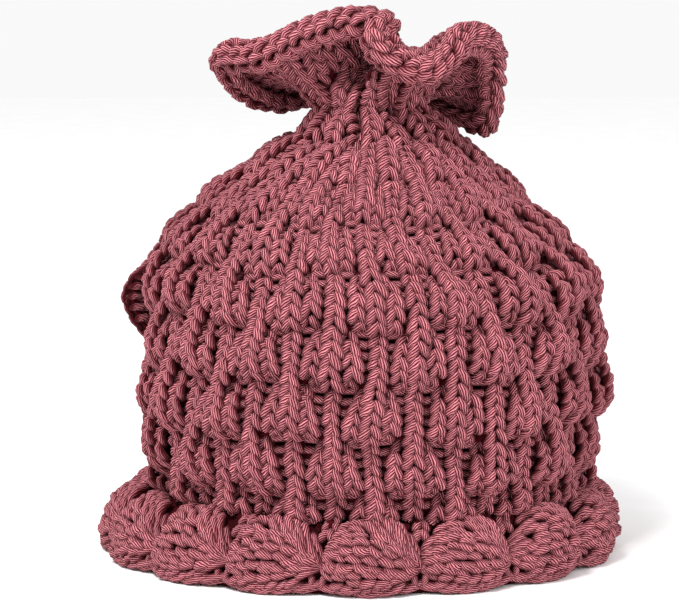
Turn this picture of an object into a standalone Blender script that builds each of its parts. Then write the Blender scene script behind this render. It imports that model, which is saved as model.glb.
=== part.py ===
"""Hand-knitted tea cosy: two bell-stitch panels gathered into a frill, on a ring of knitted puffs.

Sizes here are in millimetres and become metres where a mesh is made. X runs from the spout slit
to the handle slit, the front faces -Y, Z is up, and the origin lies on the table under the middle
of the cosy. Angles are in degrees around the cosy, 0 at the middle of the front, 90 at the handle.
"""
import math

import bpy
import numpy as np

MM = 0.001

# Cloth: a chunky plied yarn, knitted in 72 wales around.
CLOTH = 4.0                # thickness of the cloth between its bells
NECK_CLOTH = 11.0          # thickness where the cloth is gathered into deep pleats
GATHER_FROM = 0.8          # share of the way from the hem to the neck where it starts to thicken
SEAM_GAP = 0.4             # between the sewn edges of two pieces
SEAT_GAP = 0.3             # between the panels and the border they stand on

# Bell stitch: bells in columns, each column half a bell higher than the next.
BELLS_AROUND = 18          # bells in one row
BELL_HALF = 20.6           # half of a bell's height, and the step between neighbouring columns
FIRST_BELL = 9.0           # along the cloth, from its lower edge to the lowest bell's rim
HALF_ROWS = 8              # steps of half a bell from the hem to the neck
PLEAT_RELIEF = 3.5         # height of the pleats at the neck
SEAT_FADE = 9.0            # length above the lower edge over which the bells flatten to stand on it
LOOSE_BELL = 0.14          # share by which a bell is fuller or flatter than its neighbours

# One bell, from its hanging rim (0) up to the rim of the bell above it (1).
# Columns: share of the way up, height above the cloth, half width as a share of half a pitch.
BELL = np.array((
    (0.00, 0.3, 0.30),
    (0.06, 4.8, 0.60),
    (0.27, 6.0, 0.88),
    (0.50, 4.8, 0.70),
    (0.77, 2.8, 0.42),
    (1.00, 1.8, 0.32),
))

# Outer face of the cloth between the bells, a row for each height.
# Columns: height, half width, half depth, middle in X.
HEM_HEIGHT = 26.0
PROFILE = np.array((
    (HEM_HEIGHT + SEAT_GAP, 80.5, 69.5, 6.0),
    (38.0, 82.0, 71.0, 6.2),
    (49.0, 84.5, 73.0, 5.6),
    (60.0, 86.0, 74.5, 6.2),
    (74.0, 85.5, 74.5, 6.8),
    (88.0, 84.5, 73.5, 6.4),
    (99.0, 83.0, 72.0, 6.4),
    (108.0, 80.5, 69.5, 6.0),
    (118.0, 76.0, 65.5, 4.0),
    (128.0, 69.5, 60.0, 2.6),
    (138.0, 60.0, 53.0, 2.6),
    (147.0, 49.5, 45.5, 4.6),
    (156.0, 38.0, 36.0, 5.4),
    (163.0, 27.5, 26.5, 6.4),
    (168.0, 20.0, 19.5, 6.0),
    (172.0, 16.0, 15.5, 5.2),
))

# Rim of the frill, a row for each fold, from the left tip along the front to the right tip and
# back round behind. Lean is the cloth's slope where it meets the rim: 90 rises, 0 lies level and
# -90 hangs. Columns: X, Y, height, lean.
FRONT_RIM = (
    (-54.0, -3.0, 192.5, 10.0),
    (-39.0, -19.0, 195.5, 30.0),
    (-20.0, -25.0, 204.5, 50.0),
    (-4.0, -25.0, 210.5, 65.0),
    (12.0, -21.0, 208.5, 50.0),
    (8.5, -33.0, 201.5, 10.0),
    (14.5, -41.0, 194.0, -20.0),
    (24.0, -44.0, 190.5, -35.0),
    (33.0, -38.0, 195.0, -5.0),
    (40.0, -29.0, 202.5, 35.0),
    (49.0, -17.0, 202.5, 30.0),
)
BACK_RIM = (
    (56.0, -4.0, 195.0, 0.0),
    (56.5, 8.0, 180.0, -40.0),
    (52.0, 21.0, 161.5, -75.0),
    (38.0, 33.0, 168.0, -45.0),
    (22.0, 35.0, 187.0, 15.0),
    (5.0, 28.0, 200.0, 60.0),
    (-12.0, 33.0, 194.0, 40.0),
    (-27.0, 34.0, 180.0, -25.0),
    (-42.5, 21.0, 171.5, -55.0),
    (-51.0, 9.0, 180.5, -30.0),
)
FRILL_RISE = 6.0           # how far the cloth stands up out of the gathers
FRILL_SPREAD = 7.0         # how far it leans out of them
FRILL_REACH = 15.0         # how far in from the rim the cloth follows its lean
NECK_FOLLOW = 0.35         # share of the way up the frill that the pleats carry on

# Frill and rolled rim, a row for each ring of points.
# Columns: share of the way to the rim, outward from the cloth's face, inward from it.
FRILL_ROWS = (
    (0.16, 0.0, 7.0),
    (0.32, 0.0, 4.6),
    (0.48, 0.0, 4.0),
    (0.62, 0.0, 4.0),
    (0.71, 0.3, 3.8),
    (0.77, 4.2, 3.4),
    (0.87, 6.2, 3.0),
    (0.96, 5.4, 2.8),
    (1.00, 2.0, 1.8),
)

# Slits for the spout and the handle.
# Columns: angle, lowest and highest height, half gap, how far the edge of the front panel and of
# the back one curls out, and the height at which it curls most.
SLITS = (
    (-90.0, 34.0, 119.0, 13.0, 0.0, 9.0, 104.0),
    (90.0, 36.0, 114.0, 6.5, 1.0, 0.5, 90.0),
)
LIP_HEIGHT = 24.0          # height above and below its middle over which an edge curls
SLIT_ROUND = 0.7           # 1 opens a slit in a plain arc, less makes its ends blunter
SLIT_SPREAD = 30.0         # degrees of cloth beside a slit that are drawn together
LIP_SPREAD = 14.0          # degrees of cloth beside a slit that curl outward
EDGE_EASE = 1.5            # how quickly both die out away from the slit
EDGE_FLAT = 7.5            # degrees of cloth beside a slit on which the bells flatten

# Points of a panel.
PANEL_COLUMNS = 72         # quads across a panel, four to each half pitch of the bells
BELL_ROWS = (0.0, 2.4, 11.0)  # rings of points for each half bell, up from its rim
LAST_RING = 5.0            # from the last ring but one of the dome to the neck

# Steps for finding the slope of the cloth: degrees and millimetres, and a share of the frill.
DOME_STEP = 0.5
FRILL_STEP = 0.02

# Border ring.
PUFFS = 16
PUFF_PHASE = 2.0           # degrees from the middle of the front to the middle of a puff
PUFF_COLUMNS = 6           # quads across a puff
PUFF_ROUND = 0.8           # 1 swells a puff in a plain arc, less makes it fuller
HEM_OUTER = (99.0, 80.5)   # half width and half depth out to the pinched places
HEM_INNER = (77.0, 66.0)   # half width and half depth of the inside
PUFF_FULLNESS = (1.0, 0.8, 1.0, 0.9, 0.75, 1.0, 0.85, 0.95, 1.0, 0.8, 0.9, 0.7, 1.0, 0.85, 0.9, 0.95)
# The ring's section, from the table outward, up and over, and down the inside, a row for each
# point. Columns: height, out from the inside as a share of the ring's width, height added and
# outward distance added at the middle of a puff.
HEM_SECTION = (
    (0.0, 0.80, 0.0, 0.0),
    (2.5, 0.97, 0.0, 0.8),
    (5.5, 0.98, 0.0, 1.0),
    (8.0, 0.78, 0.0, 4.0),
    (12.0, 0.72, 0.0, 6.8),
    (17.0, 0.70, 0.6, 7.2),
    (21.5, 0.62, 1.8, 6.0),
    (23.5, 0.56, 3.4, 3.4),
    (24.5, 0.48, 1.6, 1.2),
    (HEM_HEIGHT, 0.34, 0.0, 0.0),
    (HEM_HEIGHT, 0.02, 0.0, 0.0),
    (22.0, 0.0, 0.0, 0.0),
    (3.0, 0.0, 0.0, 0.0),
    (0.0, 0.10, 0.0, 0.0),
)
ROSE_YARN = (0.392, 0.082, 0.104, 1.0)


def clear_scene():
    for item in list(bpy.data.objects):
        bpy.data.objects.remove(item, do_unlink=True)


def yarn_material(name):
    material = bpy.data.materials.new(name)
    material.use_nodes = True
    shader = material.node_tree.nodes["Principled BSDF"]
    shader.inputs["Base Color"].default_value = ROSE_YARN
    shader.inputs["Roughness"].default_value = 0.9
    shader.inputs["Metallic"].default_value = 0.0
    material.diffuse_color = ROSE_YARN
    return material


def smooth_curve(knots, rows, at):
    """Reads rows of values at any place along their knots, smoothly through every row."""
    slopes = np.gradient(rows, knots, axis=0)
    cell = np.clip(np.searchsorted(knots, at, side="right") - 1, 0, len(knots) - 2)
    width = knots[cell + 1] - knots[cell]
    t = ((at - knots[cell]) / width)[..., None]
    width = width[..., None]
    start = rows[cell] * (2 * t ** 3 - 3 * t ** 2 + 1)
    end = rows[cell + 1] * (3 * t ** 2 - 2 * t ** 3)
    leave = slopes[cell] * width * (t ** 3 - 2 * t ** 2 + t)
    arrive = slopes[cell + 1] * width * (t ** 3 - t ** 2)
    return start + end + leave + arrive


def lengths_along(points):
    """Distance along a row of points, from the first to each of them."""
    steps = np.linalg.norm(np.diff(points, axis=0), axis=1)
    return np.concatenate(((0.0,), np.cumsum(steps)))


PROFILE_PATH = np.column_stack((PROFILE[:, 0], (PROFILE[:, 1] + PROFILE[:, 2]) / 2))
PROFILE_KNOTS = lengths_along(PROFILE_PATH)
DOME_LENGTH = PROFILE_KNOTS[-1]


def dome_point(angle, along):
    """Outer face of the cloth at an angle around, and at a length up from its lower edge."""
    height, half_width, half_depth, middle = np.moveaxis(
        smooth_curve(PROFILE_KNOTS, PROFILE, along), -1, 0)
    turn = np.radians(angle)
    return np.stack((middle + half_width * np.sin(turn), -half_depth * np.cos(turn), height), axis=-1)


def rim_knots():
    """Angle at the neck of each rim row: the wales of a half are spread evenly along its rim."""
    front = np.array(FRONT_RIM + BACK_RIM[:1])[:, :3]
    back = np.array(BACK_RIM + FRONT_RIM[:1])[:, :3]
    front_way = lengths_along(front)
    back_way = lengths_along(back)
    front_angles = -90 + 180 * front_way[:-1] / front_way[-1]
    back_angles = 90 + 180 * back_way[:-1] / back_way[-1]
    return np.concatenate((front_angles, back_angles))


RIM_ROWS = np.array(FRONT_RIM + BACK_RIM)
RIM_KNOTS = rim_knots()
# The rim is a closed curve, so its rows are repeated a turn before and a turn after.
RIM_ROWS_ROUND = np.concatenate((RIM_ROWS, RIM_ROWS, RIM_ROWS))
RIM_KNOTS_ROUND = np.concatenate((RIM_KNOTS - 360, RIM_KNOTS, RIM_KNOTS + 360))


def frill_point(angle, share):
    """Face of the frill at an angle around the neck and a share of the way up to its rim."""
    neck = dome_point(angle, np.full_like(angle, DOME_LENGTH))
    rim = smooth_curve(RIM_KNOTS_ROUND, RIM_ROWS_ROUND, angle)
    edge = rim[..., :3]
    lean = np.radians(rim[..., 3])[..., None]
    neck_middle = np.array((PROFILE[-1, 3], 0.0, 0.0))
    away = (edge - neck_middle) * (1.0, 1.0, 0.0)
    away = away / np.linalg.norm(away, axis=-1, keepdims=True)
    up = np.array((0.0, 0.0, 1.0))
    turn = np.radians(angle)
    radial = np.stack((np.sin(turn), -np.cos(turn), np.zeros_like(turn)), axis=-1)
    stand = neck + FRILL_RISE * up + FRILL_SPREAD * radial
    turn_over = edge - FRILL_REACH * (np.cos(lean) * away + np.sin(lean) * up)
    t = share[..., None]
    return (neck * (1 - t) ** 3 + 3 * stand * t * (1 - t) ** 2
            + 3 * turn_over * t ** 2 * (1 - t) + edge * t ** 3)


def cloth_point(angle, along):
    """Face of the cloth, with the length running on past the neck: the frill adds one unit."""
    on_dome = dome_point(angle, np.minimum(along, DOME_LENGTH))
    on_frill = frill_point(angle, np.clip(along - DOME_LENGTH, 0.0, 1.0))
    return np.where((along > DOME_LENGTH)[..., None], on_frill, on_dome)


def cloth_normal(angle, along):
    """Outward direction of the cloth's face, and the direction around it."""
    up_step = np.where(along > DOME_LENGTH, FRILL_STEP, DOME_STEP)
    around = cloth_point(angle + DOME_STEP, along) - cloth_point(angle - DOME_STEP, along)
    high = np.minimum(along + up_step, DOME_LENGTH + 1.0)
    low = np.maximum(along - up_step, 0.0)
    # The length counts millimetres below the neck and shares above it, so no step crosses it.
    low = np.where(along > DOME_LENGTH, np.maximum(low, DOME_LENGTH), low)
    high = np.where(along <= DOME_LENGTH, np.minimum(high, DOME_LENGTH), high)
    upward = cloth_point(angle, high) - cloth_point(angle, low)
    normal = np.cross(around, upward)
    return (normal / np.linalg.norm(normal, axis=-1, keepdims=True),
            around / np.linalg.norm(around, axis=-1, keepdims=True))


def bell_relief(angle, along):
    """Height of the bells above the cloth."""
    half_pitch = 180.0 / BELLS_AROUND
    steps = (along - FIRST_BELL) / BELL_HALF
    relief = np.zeros_like(angle)
    for column in (0, 1):
        # Column 0 hangs at odd steps and runs up the middle of the front; column 1 lies between.
        shifted = angle - column * half_pitch
        nearest = np.round(shifted / (2 * half_pitch))
        across = np.abs(shifted - nearest * 2 * half_pitch) / half_pitch
        phase = (steps - 1 + column) / 2
        bell = np.floor(phase)
        rise = np.interp(phase - bell, BELL[:, 0], BELL[:, 1])
        width = np.interp(phase - bell, BELL[:, 0], BELL[:, 2])
        loose = 1 + LOOSE_BELL * np.sin(2.4 * nearest + 4.1 * bell + 1.7 * column)
        lens = np.sqrt(np.clip(1 - (across / width) ** 2, 0.0, 1.0))
        relief = np.maximum(relief, rise * loose * lens)
    return relief


def pleat_relief(angle):
    """Pleats of the gathered neck, one to each bell of a row."""
    return PLEAT_RELIEF * (0.5 + 0.5 * np.cos(np.radians(angle * BELLS_AROUND)))


def outer_offset(angle, along):
    """Relief on the outer face: bells, turning into pleats at the neck and dying out above."""
    last_bell = FIRST_BELL + (HALF_ROWS - 0.5) * BELL_HALF
    to_pleats = np.clip((along - last_bell) / (DOME_LENGTH - last_bell), 0.0, 1.0)
    up_frill = np.clip((along - DOME_LENGTH) / NECK_FOLLOW, 0.0, 1.0)
    from_seat = np.clip(along / SEAT_FADE, 0.0, 1.0)
    bells = bell_relief(angle, along) * from_seat * (1 - to_pleats)
    return bells + pleat_relief(angle) * to_pleats * (1 - up_frill)


def panel_rows():
    """Rings of points of a panel: place along the cloth, outward and inward distances."""
    rows = [(0.0, 0.0, CLOTH), (FIRST_BELL / 2, 0.0, CLOTH)]
    for step in range(HALF_ROWS):
        for rise in BELL_ROWS:
            along = FIRST_BELL + step * BELL_HALF + rise
            gather = max(0.0, along / DOME_LENGTH - GATHER_FROM) / (1 - GATHER_FROM)
            rows.append((along, 0.0, CLOTH + (NECK_CLOTH - CLOTH) * gather))
    rows.append((DOME_LENGTH - LAST_RING, 0.0, NECK_CLOTH))
    rows.append((DOME_LENGTH, 0.0, NECK_CLOTH))
    rows += [(DOME_LENGTH + share, out, inward) for share, out, inward in FRILL_ROWS]
    return np.array(rows)


def slit_shape(height, low, high):
    """How far a slit is open at a height, from 0 at its ends to 1 at its middle."""
    share = np.clip((height - low) / (high - low), 0.0, 1.0)
    return np.sin(np.pi * share) ** SLIT_ROUND


def open_slits(middle, local, height):
    """How far the columns of a panel shift away from the slits, how far its lips curl out, and
    what share of the bells is left where the edge is drawn flat."""
    shift = np.zeros_like(local)
    lip = np.zeros_like(local)
    flat = np.zeros_like(local)
    for seam, low, high, half_gap, front_lip, back_lip, lip_middle in SLITS:
        side = seam if middle == 0 else -seam
        beside = np.abs(local - side)
        widest = math.degrees(math.asin(half_gap / PROFILE[:, 2].max()))
        shape = slit_shape(height, low, high)
        drawn = np.clip(1 - beside / SLIT_SPREAD, 0.0, 1.0) ** EDGE_EASE
        shift -= math.copysign(widest, side) * shape * drawn
        curl = np.clip(1 - beside / LIP_SPREAD, 0.0, 1.0) ** EDGE_EASE
        curl *= np.cos(np.pi / 2 * np.clip((height - lip_middle) / LIP_HEIGHT, -1.0, 1.0)) ** 2
        lip += (front_lip if middle == 0 else back_lip) * curl
        flat += shape * np.clip(1 - beside / EDGE_FLAT, 0.0, 1.0)
    return shift, lip, 1 - flat


def panel_points(middle):
    """Outer and inner points of a panel, ring by ring."""
    rows = panel_rows()
    local = np.linspace(-90.0, 90.0, PANEL_COLUMNS + 1)
    local, along = np.meshgrid(local, rows[:, 0])
    height = dome_point(local, np.minimum(along, DOME_LENGTH))[..., 2]
    on_dome = along <= DOME_LENGTH
    shift, lip, relief_left = open_slits(middle, local, np.where(on_dome, height, 0.0))
    angle = middle + local + shift
    face = cloth_point(angle, along)
    normal, around = cloth_normal(angle, along)
    # The relief is knitted into the cloth, so it moves with the columns beside a slit.
    outward = rows[:, 1:2] + outer_offset(middle + local, along) * relief_left + lip
    inward = rows[:, 2:3] - lip
    outer = face + normal * outward[..., None]
    inner = face - normal * inward[..., None]
    # The two side edges stop short of the seam.
    for column, sign in ((0, 1), (-1, -1)):
        inset = sign * around[:, column] * SEAM_GAP / 2
        outer[:, column] += inset
        inner[:, column] += inset
    # The lower edge is cut level, to stand on the border.
    outer[0, :, 2] = HEM_HEIGHT + SEAT_GAP
    inner[0, :, 2] = HEM_HEIGHT + SEAT_GAP
    return outer, inner


def panel_faces(rings, columns):
    """Quads of the outer face, quads of the inner face at half as many, and the edges between."""
    width = columns + 1
    first_inner = rings * width
    inner_width = columns // 2 + 1

    def outer_at(ring, column):
        return ring * width + column

    def inner_at(ring, column):
        return first_inner + (ring // 2) * inner_width + column // 2

    faces = []
    for ring in range(rings - 1):
        for column in range(columns):
            faces.append((outer_at(ring, column), outer_at(ring, column + 1),
                          outer_at(ring + 1, column + 1), outer_at(ring + 1, column)))
    for ring in range(0, rings - 1, 2):
        for column in range(0, columns, 2):
            faces.append((inner_at(ring, column), inner_at(ring + 2, column),
                          inner_at(ring + 2, column + 2), inner_at(ring, column + 2)))
    # An edge runs round the panel anticlockwise, seen from outside, in steps of two columns or rings.
    corners = ((0, 0, 0, 1), (0, columns, 1, 0), (rings - 1, columns, 0, -1), (rings - 1, 0, -1, 0))
    for ring, column, ring_step, column_step in corners:
        steps = (rings - 1 if ring_step else columns) // 2
        for _ in range(steps):
            a = outer_at(ring, column)
            middle = outer_at(ring + ring_step, column + column_step)
            b = outer_at(ring + 2 * ring_step, column + 2 * column_step)
            c = inner_at(ring, column)
            ring += 2 * ring_step
            column += 2 * column_step
            d = inner_at(ring, column)
            faces += [(middle, a, c), (middle, c, d), (b, middle, d)]
    return faces


def mesh_object(name, points, faces, material):
    """Makes an object from points in millimetres."""
    mesh = bpy.data.meshes.new(name)
    mesh.from_pydata((np.asarray(points) * MM).tolist(), [], faces)
    mesh.validate()
    mesh.materials.append(material)
    mesh.shade_smooth()
    made = bpy.data.objects.new(name, mesh)
    bpy.context.scene.collection.objects.link(made)
    return made


def make_panel(name, middle, material):
    """A half of the cosy from the border to the frill's rim."""
    outer, inner = panel_points(middle)
    rings, width = outer.shape[:2]
    inner = inner[::2, ::2]
    points = np.concatenate((outer.reshape(-1, 3), inner.reshape(-1, 3)))
    return mesh_object(name, points, panel_faces(rings, width - 1), material)


def puff_shape(angle):
    """Fullness of the border at an angle: 0 where it is pinched, up to 1 amid a puff."""
    turns = ((angle - PUFF_PHASE) / 360 * PUFFS + 0.5) % PUFFS
    which = int(turns)
    across = turns - which
    return PUFF_FULLNESS[which] * math.sin(math.pi * across) ** PUFF_ROUND


def make_hem(name, material):
    """The knitted ring of puffs, flat where it stands on the table."""
    columns = PUFFS * PUFF_COLUMNS
    section = len(HEM_SECTION)
    points = []
    for column in range(columns):
        angle = PUFF_PHASE + 360 * (column / columns - 0.5 / PUFFS)
        turn = math.radians(angle)
        full = puff_shape(angle)
        middle = PROFILE[0, 3]
        inside = np.array((middle + HEM_INNER[0] * math.sin(turn), -HEM_INNER[1] * math.cos(turn)))
        outside = np.array((HEM_OUTER[0] * math.sin(turn), -HEM_OUTER[1] * math.cos(turn)))
        out = (outside - inside) / np.linalg.norm(outside - inside)
        for height, share, added_height, added_out in HEM_SECTION:
            place = inside + (outside - inside) * share + out * added_out * full
            points.append((place[0], place[1], height + added_height * full))
    faces = []
    for column in range(columns):
        after = (column + 1) % columns
        for row in range(section):
            over = (row + 1) % section
            faces.append((column * section + row, after * section + row,
                          after * section + over, column * section + over))
    return mesh_object(name, points, faces, material)


clear_scene()
make_panel("front_panel", 0, yarn_material("front_panel_yarn"))
make_panel("back_panel", 180, yarn_material("back_panel_yarn"))
make_hem("hem_band", yarn_material("hem_band_yarn"))
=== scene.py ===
# %% [markdown]
# # A hand-knitted tea cosy
#
# A tea cosy is a knitted cover that keeps a teapot warm. This one is made of a chunky plied yarn in
# two panels of bell stitch, gathered at a neck that opens into a ruffled frill, and it stands on a
# border of knitted puffs. Every visible stitch is a real strand of yarn here: the strands are short
# tubes laid on a smooth cloth surface, because a picture of knitting on a smooth wall has no depth
# between its stitches, and those dark depths are what the eye reads as knitting.

# %% Load the frame
import math

import bpy
import numpy as np
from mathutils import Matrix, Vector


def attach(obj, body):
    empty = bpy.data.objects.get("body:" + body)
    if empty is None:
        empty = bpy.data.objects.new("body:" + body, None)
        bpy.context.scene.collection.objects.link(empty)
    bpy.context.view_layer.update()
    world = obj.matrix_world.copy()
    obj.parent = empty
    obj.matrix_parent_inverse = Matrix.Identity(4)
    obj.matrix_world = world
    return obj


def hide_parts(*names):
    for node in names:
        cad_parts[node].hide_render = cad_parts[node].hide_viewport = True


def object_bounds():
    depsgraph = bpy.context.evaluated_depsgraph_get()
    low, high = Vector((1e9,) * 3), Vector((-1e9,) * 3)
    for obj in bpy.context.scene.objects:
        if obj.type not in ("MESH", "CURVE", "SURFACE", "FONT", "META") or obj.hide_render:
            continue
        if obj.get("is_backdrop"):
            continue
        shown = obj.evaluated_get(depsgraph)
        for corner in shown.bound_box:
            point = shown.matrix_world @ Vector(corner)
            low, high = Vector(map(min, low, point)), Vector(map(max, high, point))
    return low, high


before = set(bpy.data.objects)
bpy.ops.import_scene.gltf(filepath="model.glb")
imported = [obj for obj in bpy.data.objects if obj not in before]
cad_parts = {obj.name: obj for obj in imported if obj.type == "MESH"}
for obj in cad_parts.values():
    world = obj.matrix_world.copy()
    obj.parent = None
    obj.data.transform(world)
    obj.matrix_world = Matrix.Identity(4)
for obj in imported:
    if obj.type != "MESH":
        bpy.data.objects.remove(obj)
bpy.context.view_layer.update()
MM = 0.001

# %% [markdown]
# ## Colours and nodes
#
# Colours are written as the hex values that a screen shows. A renderer works in linear light, so one
# function turns them. A second small function adds any node with its settings and links, and every
# material below is made with it.

# %% Colour and node helpers
def linear(hex_colour):
    """sRGB hex to the linear RGBA that shader sockets take."""
    channels = [int(hex_colour[i:i + 2], 16) / 255 for i in (1, 3, 5)]
    return [c / 12.92 if c <= 0.04045 else ((c + 0.055) / 1.055) ** 2.4 for c in channels] + [1.0]


def node(tree, kind, settings=None, **inputs):
    """Adds a node: settings are its properties, inputs are values or sockets to link."""
    made = tree.nodes.new(kind)
    for name, value in (settings or {}).items():
        setattr(made, name, value)
    for name, value in inputs.items():
        socket = made.inputs[int(name[1:])] if name[0] == "_" else made.inputs[name.replace("_", " ")]
        if isinstance(value, bpy.types.NodeSocket):
            tree.links.new(value, socket)
        else:
            socket.default_value = value
    return made


def maths(tree, operation, *values):
    """Output of a Math node whose inputs are given in order."""
    inputs = {f"_{place}": value for place, value in enumerate(values)}
    return node(tree, "ShaderNodeMath", {"operation": operation}, **inputs).outputs[0]


def noise(tree, place, scale=1.0, **inputs):
    """Output of a noise texture read at a place."""
    return node(tree, "ShaderNodeTexNoise", Vector=place, Scale=scale, **inputs).outputs[0]


def stretched(tree, vector, factors):
    """A vector with each of its parts multiplied."""
    return node(tree, "ShaderNodeVectorMath", {"operation": "MULTIPLY"}, _0=vector, _1=factors).outputs[0]


def cosine_wave(tree, turns):
    """1 at every whole turn and 0 halfway between."""
    angle = maths(tree, "MULTIPLY", turns, 2 * math.pi)
    return maths(tree, "MULTIPLY_ADD", maths(tree, "COSINE", angle), 0.5, 0.5)


def fade(tree, value, low, high):
    """0 below low, 1 above high, and smooth between."""
    made = node(tree, "ShaderNodeMapRange", {"interpolation_type": "SMOOTHSTEP"}, Value=value)
    made.inputs["From Min"].default_value = low
    made.inputs["From Max"].default_value = high
    return made.outputs[0]


def colour_ramp(tree, value, stops):
    """Colour read from stops of (place, hex colour)."""
    made = node(tree, "ShaderNodeValToRGB", Fac=value)
    ramp = made.color_ramp
    for number, (place, hex_colour) in enumerate(stops):
        if number < 2:
            stop = ramp.elements[number]
            stop.position = place
        else:
            stop = ramp.elements.new(place)
        stop.color = linear(hex_colour)
    return made.outputs[0]


def new_material(name):
    """An empty material and its node tree."""
    material = bpy.data.materials.new(name)
    material.use_nodes = True
    material.node_tree.nodes.clear()
    return material, material.node_tree


def finished_material(material, shader, sockets):
    """Sets the shader's constant sockets and joins it to the output."""
    for name, value in sockets.items():
        shader.inputs[name].default_value = value
    node(material.node_tree, "ShaderNodeOutputMaterial", Surface=shader.outputs[0])
    print("material:", material.name, len(material.node_tree.nodes), "nodes")
    return material


print("rose as linear light:", [round(c, 3) for c in linear("#AC4D58")])

# %% [markdown]
# ## Plied aran yarn
#
# The yarn is a soft acrylic and wool blend in dusty rose, about 3.6 mm thick. Several plies are
# twisted round each other, and the twist shows as fine slanting lines with dark valleys between
# them. Where a stitch leans to the left its plies lie almost across it, and where it leans to the
# right they run almost along it, because the twist always turns the same way. The plies are drawn
# coarser than real ones, which would blur into one tone at the distance the cosy is seen from.
#
# Each strand is unwrapped alike: U runs along the strand and V around it. V is cut in bands, and the
# band says what the strand is (left leg, right leg, or a strand lying across) and how its dye came
# out. So one pattern of stripes, as a function of U and V alone, serves thousands of strands.

# %% Yarn
SHADES = 4                  # shades of each kind of strand
BANDS = 3 * SHADES          # bands of V: three kinds of strand, with their shades
BAND_MARGIN = 0.06          # share of a band left free at each edge
PLIES_AROUND = (14.0, 14.0, 14.0)  # ply lines met on the way round a left leg, right leg, cross strand
PLIES_ALONG = (6.2, 4.2, 7.0)      # ply lines met on the way along it
PLY_STRAY = 0.9             # how far the ply lines bend, in plies
PLY_UNEVEN = 0.34           # by how much the lightness of the plies differs
PLY_DEPTH = 0.34 * MM       # depth of the valleys between plies
# The crests of the plies are painted lighter and the valleys between them darker: a painted highlight and
# painted shade over the bump that shapes them.
YARN_PLY_HIGHLIGHT = "#D28A92"
YARN_BODY = "#AC4D58"
YARN_VALLEY_SHADE = "#3E040C"
YARN_CREASE_SHADE = "#420008"     # painted shade, deep between stitches
YARN_BEHIND_SHADE = "#56101C"     # the purl side, painted dark as the shade it lies in
YARN_HALO = "#DC8C96"       # light caught by loose fibres
FIBRE_STRETCH = (3.0, 5.0, 7.3)    # fibres: across the plies, along them, and from band to band
STRAY_STRETCH = (4.0, 60.0, 0.0)   # slow noises, in U and V
MOTTLE_STRETCH = (3.0, 36.0, 0.0)
UNDERSIDE = (0.25, 0.49)    # share of the way round where the painted shade under a strand fades out
ENDS = (0.02, 0.28)         # share of the way along where the painted shade at its ends fades out
# Noises that change a value, as how much they change it and where they start from.
FIBRE_TONE, FIBRE_ROUGH = (1.1, -0.55), (0.2, 0.72)
SHADE_VALUE, MOTTLE_VALUE = (0.05, 0.93), (0.24, -0.12)
FIBRE_HEIGHT = 0.35         # height of the fibres, as a share of the plies' depth
BAND_SEED = 31.7            # sets the plies of one band apart from the next band's
YARN_TONES = ((0.20, YARN_VALLEY_SHADE), (1.0, YARN_PLY_HIGHLIGHT), (0.42, YARN_BODY))
YARN_SHEEN = {"Sheen Weight": 0.12, "Sheen Roughness": 0.4, "Sheen Tint": linear(YARN_HALO),
              "Specular IOR Level": 0.12}


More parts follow.
